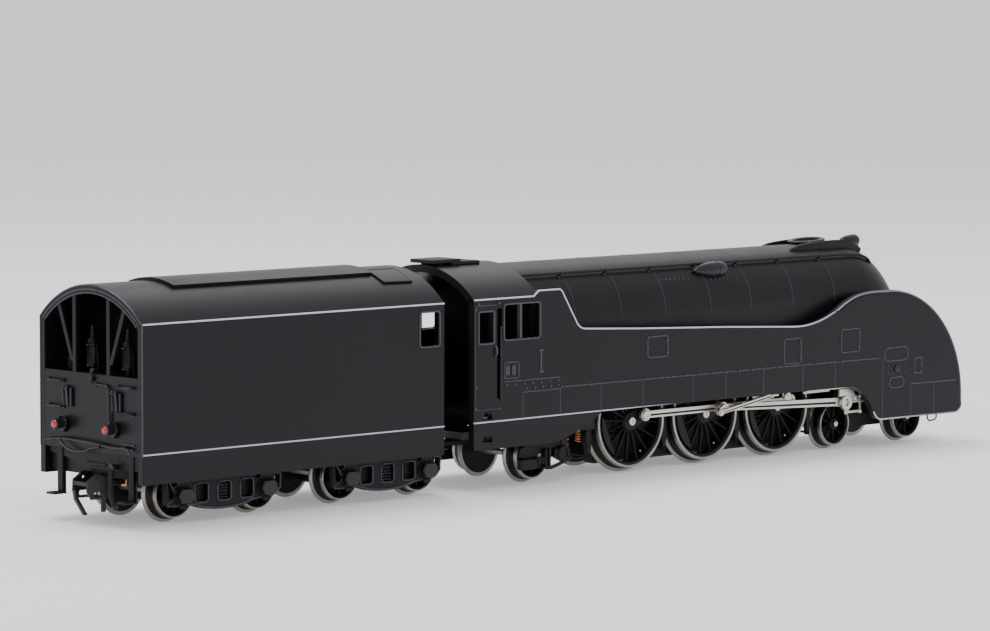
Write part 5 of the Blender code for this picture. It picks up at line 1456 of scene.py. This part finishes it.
base.rod((-62.9, 0.0, 4.6), (-62.9, 0.0, 7.3), 0.3)
base.rod((BAY_X, 7.2, 16.4), (BAY_X, 7.2, 17.9), 0.5)
base.turned([(0, 17.8), (0.62, 17.85), (0.64, 18.1), (0.5, 18.22), (0.2, 18.26), (0, 18.26)],
    Matrix.Translation((BAY_X, 7.2, 0)), 0, 24)
base.done("tender", "frame_black", "tender_floor")

# %% Lamps, rails, brackets and lever on the rear
for name, y in (("right", -4.4), ("left", 4.75)):
    tail = Piece(f"tail_lamp_{name}_case", LAMP, RED_LENS)
    place = Matrix.Translation((0, y, 11.0)) @ Matrix.Rotation(-pi / 2, 4, "Y")
    tail.turned([(0, 67.7), (0.42, 67.7), (0.42, 67.95), (0.78, 68.0), (0.82, 68.12), (0.78, 68.22),
        (0.6, 68.26), (0.6, 69.0), (0.66, 69.05), (0.66, 69.2), (0.52, 69.24), (0.5, 69.16), (0, 69.14)],
        place, 0, 28)
    tail.turned([(0, 69.1), (0.46, 69.1), (0.44, 69.24), (0.34, 69.36), (0.18, 69.42), (0, 69.43)], place,
        1, 24)
    tail.box((-68.7, y - 0.16, 11.5), (-68.3, y + 0.16, 11.85), 0, 0.05)
    tail.box((-68.1, y - 0.2, 10.0), (-67.7, y + 0.2, 10.6), 0, 0.04)
    tail.done("tender", "lamp_black", f"tail_lamp_{name}", smooth=35)

fit = Piece("rear_rails_and_pipes", LAMP)
for side in BOTH:
    for z in (15.8, 12.9):
        near, far = side * 4.9, side * 7.6
        fit.tube([(TAIL_X + 0.1, near, z), (TAIL_X - 0.42, near, z), (TAIL_X - 0.5, near + side * 0.1, z),
            (TAIL_X - 0.5, far - side * 0.1, z), (TAIL_X - 0.42, far, z), (TAIL_X + 0.1, far, z)], 0.13)
        fit.rod((TAIL_X + 0.05, near, z), (TAIL_X - 0.12, near, z), 0.26)
        fit.rod((TAIL_X + 0.05, far, z), (TAIL_X - 0.12, far, z), 0.26)
for y in (3.95, -4.9):
    fit.plate("XZ", [(TAIL_X, 15.2), (TAIL_X - 0.35, 15.3), (TAIL_X - 0.55, 15.0), (TAIL_X - 0.4, 14.6),
        (TAIL_X - 0.3, 13.0), (TAIL_X, 12.9)], (y - 0.2, y + 0.2), 0, 0.04)
    fit.tube([(TAIL_X - 0.3, y + 0.65, 15.0), (TAIL_X - 0.45, y + 0.45, 14.5),
        (TAIL_X - 0.35, y + 0.5, 13.0)], 0.14)
    fit.ball((TAIL_X - 0.3, y + 0.6, 15.05), 0.3)
    fit.box((TAIL_X - 0.3, y - 0.75, 12.95), (TAIL_X, y - 0.45, 15.1), 0, 0.05)
drain = [(-0.4, 17.4), (-0.4, 16.1), (-0.55, 15.85), (-0.85, 15.75), (-2.9, 15.72), (-3.3, 15.6),
    (-3.5, 15.25), (-3.55, 14.4), (-3.55, 11.4)]
fit.tube([(TAIL_X - 0.22, y, z) for y, z in drain], 0.15)
for y, z in ((-0.4, 16.4), (-1.2, 15.76), (-3.55, 14.8)):
    fit.ball((TAIL_X - 0.22, y, z), 0.27)
fit.tube([(TAIL_X - 0.2, -0.9, 17.35), (TAIL_X - 0.2, -0.4, 17.4), (TAIL_X + 1.6, -0.4, 17.4)], 0.15)
fit.box((TAIL_X - 0.1, -7.9, 9.35), (TAIL_X, -5.5, 9.55))
fit.box((TAIL_X - 0.1, -7.6, 8.85), (TAIL_X, -5.2, 9.05))
fit.done("tender", "frame_black", smooth=35)

lever = Piece("uncoupling_rod", LAMP)
rod_x = TAIL_X - 0.5
lever.tube([(rod_x, y, z) for y, z in ((7.8, 8.95), (6.9, 9.1), (5.2, 9.28), (3.6, 9.36), (0.5, 9.3),
    (-2.3, 9.12))], 0.14)
lever.tube([(rod_x - 0.1, *place)
    for place in curve_through([(4.9, 9.1), (4.3, 8.75), (3.4, 8.3), (2.0, 8.1), (0.4, 8.25), (-0.6, 8.6),
    (-2.3, 8.9)], 4)], 0.14)
for y in (6.9, -2.3, -6.4):
    lever.rod((TAIL_X + 0.1, y, 9.1), (rod_x, y, 9.1), 0.2)
lever.tube([(rod_x, -2.3, 9.12), (rod_x, -4.2, 9.0), (rod_x, -6.4, 9.1), (rod_x, -7.3, 9.0),
    (rod_x, -7.6, 8.5)], 0.13)
lever.done("tender", "frame_black", "uncoupling_lever", smooth=35)

# %% Steps and air hose
for name, y in (("right", -6.7), ("left", 6.1)):
    step = Piece(f"rear_step_{name}", FRAME)
    step.box((-67.4, y - 0.5, 3.1), (-67.1, y + 0.5, 8.3), 0, 0.04)
    step.box((-67.4, y - 0.5, 3.1), (-66.9, y - 0.36, 8.3), 0, 0.03)
    step.box((-68.85, y - 0.75, 2.9), (-67.0, y + 0.75, 3.12), 0, 0.05)
    for x in (-68.7, -68.3, -67.9):
        step.box((x - 0.07, y - 0.7, 3.1), (x + 0.07, y + 0.7, 3.17))
    step.done("tender", "frame_black", f"step_{name}")
hose = Piece("air_hose", FRAME, LAMP)
hose_line = curve_through([(-67.3, -4.1, 6.75), (-67.9, -4.1, 6.6), (-68.15, -4.1, 5.9), (-68.2, -4.1, 4.4),
    (-68.05, -4.1, 3.2), (-67.6, -4.1, 2.35)], 5)
hose.tube(hose_line, 0.3, 0, 12)
hose.turned([(0, -0.35), (0.42, -0.35), (0.42, 0.1), (0.3, 0.2), (0.3, 0.35), (0, 0.35)],
    Matrix.Translation((-67.85, -4.1, 6.75)) @ Matrix.Rotation(pi / 2, 4, "Y"), 1, 20)
hose.tube([(-68.2, -4.45, 7.1), (-68.2, -3.9, 7.15), (-68.2, -3.6, 6.8), (-68.2, -3.8, 6.4)], 0.1, 1)
hose.rod((-67.75, -4.1, 2.6), (-67.45, -4.1, 2.1), 0.4, 1)
hose.done("tender", "frame_black", "brake_hose", smooth=35)

# %% Coupler
hook = Piece("hook_coupler", LAMP)
cheek = [(-66.0, 5.7), (-67.9, 5.95), (-69.3, 5.1), (-69.4, 3.8), (-68.8, 2.9), (-66.6, 2.9),
    (-66.3, 3.6), (-66.0, 4.3)]
for y in (-1.3, 1.3):
    sheet = Piece("cheek", LAMP).plate("XZ", cheek, (y - 0.14, y + 0.14), 0, 0.03)
    tools = Piece("tool", LAMP).plate("XZ", rounded(-68.55, -67.1, 3.2, 3.75, 0.25), (y - 1, y + 1))
    tools.rod((-67.9, y - 1, 5.25), (-67.9, y + 1, 5.25), 0.2, sides=12)
    sheet.cut(tools)
    hook.take(sheet.bm)
hook.box((-67.7, -1.3, 4.3), (-63.85, 1.3, 4.85), 0, 0.06)
hook.box((-69.3, -1.3, 4.4), (-68.95, 1.3, 4.9), 0, 0.05)
hook.plate("XZ", [(-69.35, 3.9), (-69.1, 3.9), (-68.9, 3.0), (-67.5, 0.95), (-67.95, 0.9), (-69.2, 2.8)],
    (0.9, 1.4), 0, 0.03)
hook.box((-67.4, -1.5, 1.45), (-66.8, -1.2, 3.8), 0, 0.05)
hook.box((-67.7, -1.3, 2.95), (-66.7, 1.3, 3.2), 0, 0.04)
hook.done("coupler", "frame_black", "coupler")

# %% [markdown]
# ## Tender bogies
# The side frames are castings: a deep plate with three round-cornered windows, a
# bellied lower edge, boxes over the axle ends and open triangular brackets at the
# ends. The windows are cut with a boolean, and their rims are beads.

# %% Bogie castings
BOGIE_X = {"rear": -54.35, "front": -29.7}
HALF_BASE = 6.05
WINDOW_X = (-3.3, 0.0, 3.3)
frame_outline = ([(-8.5, 4.5), (-8.3, 5.5), (-7.4, 5.9), (7.4, 5.9), (8.3, 5.5), (8.5, 4.5), (8.35, 3.2),
    (7.3, 2.15), (4.9, 2.0)]
    + curve_through([(4.6, 1.95), (2.8, 1.5), (0.0, 1.3), (-2.8, 1.5), (-4.6, 1.95)], 4)
    + [(-4.9, 2.0), (-7.3, 2.0), (-8.4, 2.3)])
box_face = [(-1.15, 3.25), (-0.7, 2.45), (0.75, 2.45), (1.15, 2.85), (1.15, 3.7), (0.75, 4.1), (-0.7, 4.1)]
for name, centre in BOGIE_X.items():
    casting = Piece(f"bogie_casting_{name}", FRAME, BRASS, LAMP)
    casting.box((centre - 1.45, -6.5, 4.92), (centre + 1.45, 6.5, 5.7))
    rims, coils, studs = [], [], []
    for side in BOTH:
        inner, outer = side * 6.4, side * 7.1
        sheet = Piece("sheet", FRAME).plate("XZ", [(centre + x, z) for x, z in frame_outline],
            (inner, outer), 0, 0.06)
        tools = Piece("tool", FRAME)
        for x in WINDOW_X:
            tools.plate("XZ", rounded(centre + x - 0.95, centre + x + 0.95, 2.3, 4.45, 0.4),
                (side * 5.5, side * 8))
        for way in (-1, 1):
            triangle = [(centre + way * 7.35, 4.9), (centre + way * 8.1, 4.7), (centre + way * 8.0, 3.1),
                (centre + way * 7.35, 2.7)]
            tools.plate("XZ", triangle, (side * 5.5, side * 8))
        sheet.cut(tools)
        casting.take(sheet.bm)
        for x in WINDOW_X:
            rim = rounded(centre + x - 0.98, centre + x + 0.98, 2.27, 4.48, 0.42)
            rims.append(on_side(rim + rim[:1], side, 7.1))
            casting.box((centre + x - 1.1, side * 6.3, 2.2), (centre + x + 1.1, side * 6.38, 4.6))
        lower = curve_through([(-8.2, 2.2), (-4.9, 2.15), (-4.2, 2.08), (-2.6, 1.65), (0.0, 1.45),
            (2.6, 1.65), (4.2, 2.08), (7.2, 2.3), (8.3, 3.25)], 5)
        rims.append(on_side([(centre + x, z) for x, z in lower], side, 7.1))
        rims.append(on_side([(centre - 8.3, 5.45), (centre - 6.9, 3.2), (centre - 8.3, 2.4)], side, 7.12))
        rims.append(on_side([(centre + 6.9, 4.9), (centre + 8.3, 4.6), (centre + 8.2, 3.2)], side, 7.12))
        for way in (-1, 1):
            x = centre + way * HALF_BASE
            casting.plate("XZ", [(x + a, b) for a, b in box_face], (side * 6.9, side * 7.95), 2, 0.1)
            casting.plate("XZ", [(x + a * 1.15, 3.3 + (b - 3.3) * 1.15) for a, b in box_face],
                (side * 6.9, side * 7.3), 0, 0.06)
            casting.plate("XZ", [(x - 1.5, 4.4), (x - 0.6, 4.9), (x - 0.5, 5.9), (x + 0.5, 5.9),
                (x + 0.6, 4.9), (x + 1.5, 4.4)], (side * 6.9, side * 7.45), 0, 0.08)
            casting.turned([(0, 7.3), (0.42, 7.3), (0.42, 7.6), (0.3, 7.66), (0.24, 7.55), (0, 7.55)],
                along_y(x, 5.35, side), 2, 20)
            casting.box((x - 0.5, side * 7.0, 1.75), (x + 0.5, side * 7.35, 2.2), 0, 0.06)
            studs.append(on_side([(x - 0.95, 4.8), (x + 0.95, 4.8)], side, 7.5))
            studs.append(on_side([(x - way * 1.75, 2.6), (x - way * 1.75, 4.4)], side, 7.1))
        coils += [[(centre + dx, side * 6.72, 2.5)] for dx in (-0.5, 0.0, 0.5)]
    casting.box((centre - 7.6, -3.0, 4.4), (centre - 6.9, 3.0, 4.9), 0, 0.05)
    casting.box((centre + 6.9, -3.0, 4.4), (centre + 7.6, 3.0, 4.9), 0, 0.05)
    casting.box((centre - 7.6, -0.6, 4.5), (centre + 7.6, 0.6, 4.9))
    casting.box((centre - 5.2, -3.2, 1.9), (centre + 5.2, 3.2, 4.88), 0, 0.3)
    casting.rod((centre + 7.55, -6.6, 4.6), (centre + 7.55, -6.1, 4.6), 0.3, 1)
    casting.done(f"bogie_{name}", "frame_black", f"bogie_frame_{name}")
    body = f"bogie_{name}"
    beads(f"bogie_rims_{name}", rims, 0.11, EDGE, body, 6)
    rivets(f"bogie_studs_{name}", studs, 0.62, 0.12, EDGE, body)
    grown(f"bogie_springs_{name}", COIL_TREE, coils, {"Turns": 5.0, "Radius": 0.22 * MM,
        "Height": 1.75 * MM, "Wire": 0.065 * MM}, EDGE, body)

# %% Finish
VISUAL_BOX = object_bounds()
for label, corners in (("cad", CAD_BOX), ("visual", VISUAL_BOX)):
    print(label, [[round(value / MM, 2) for value in corner] for corner in corners])
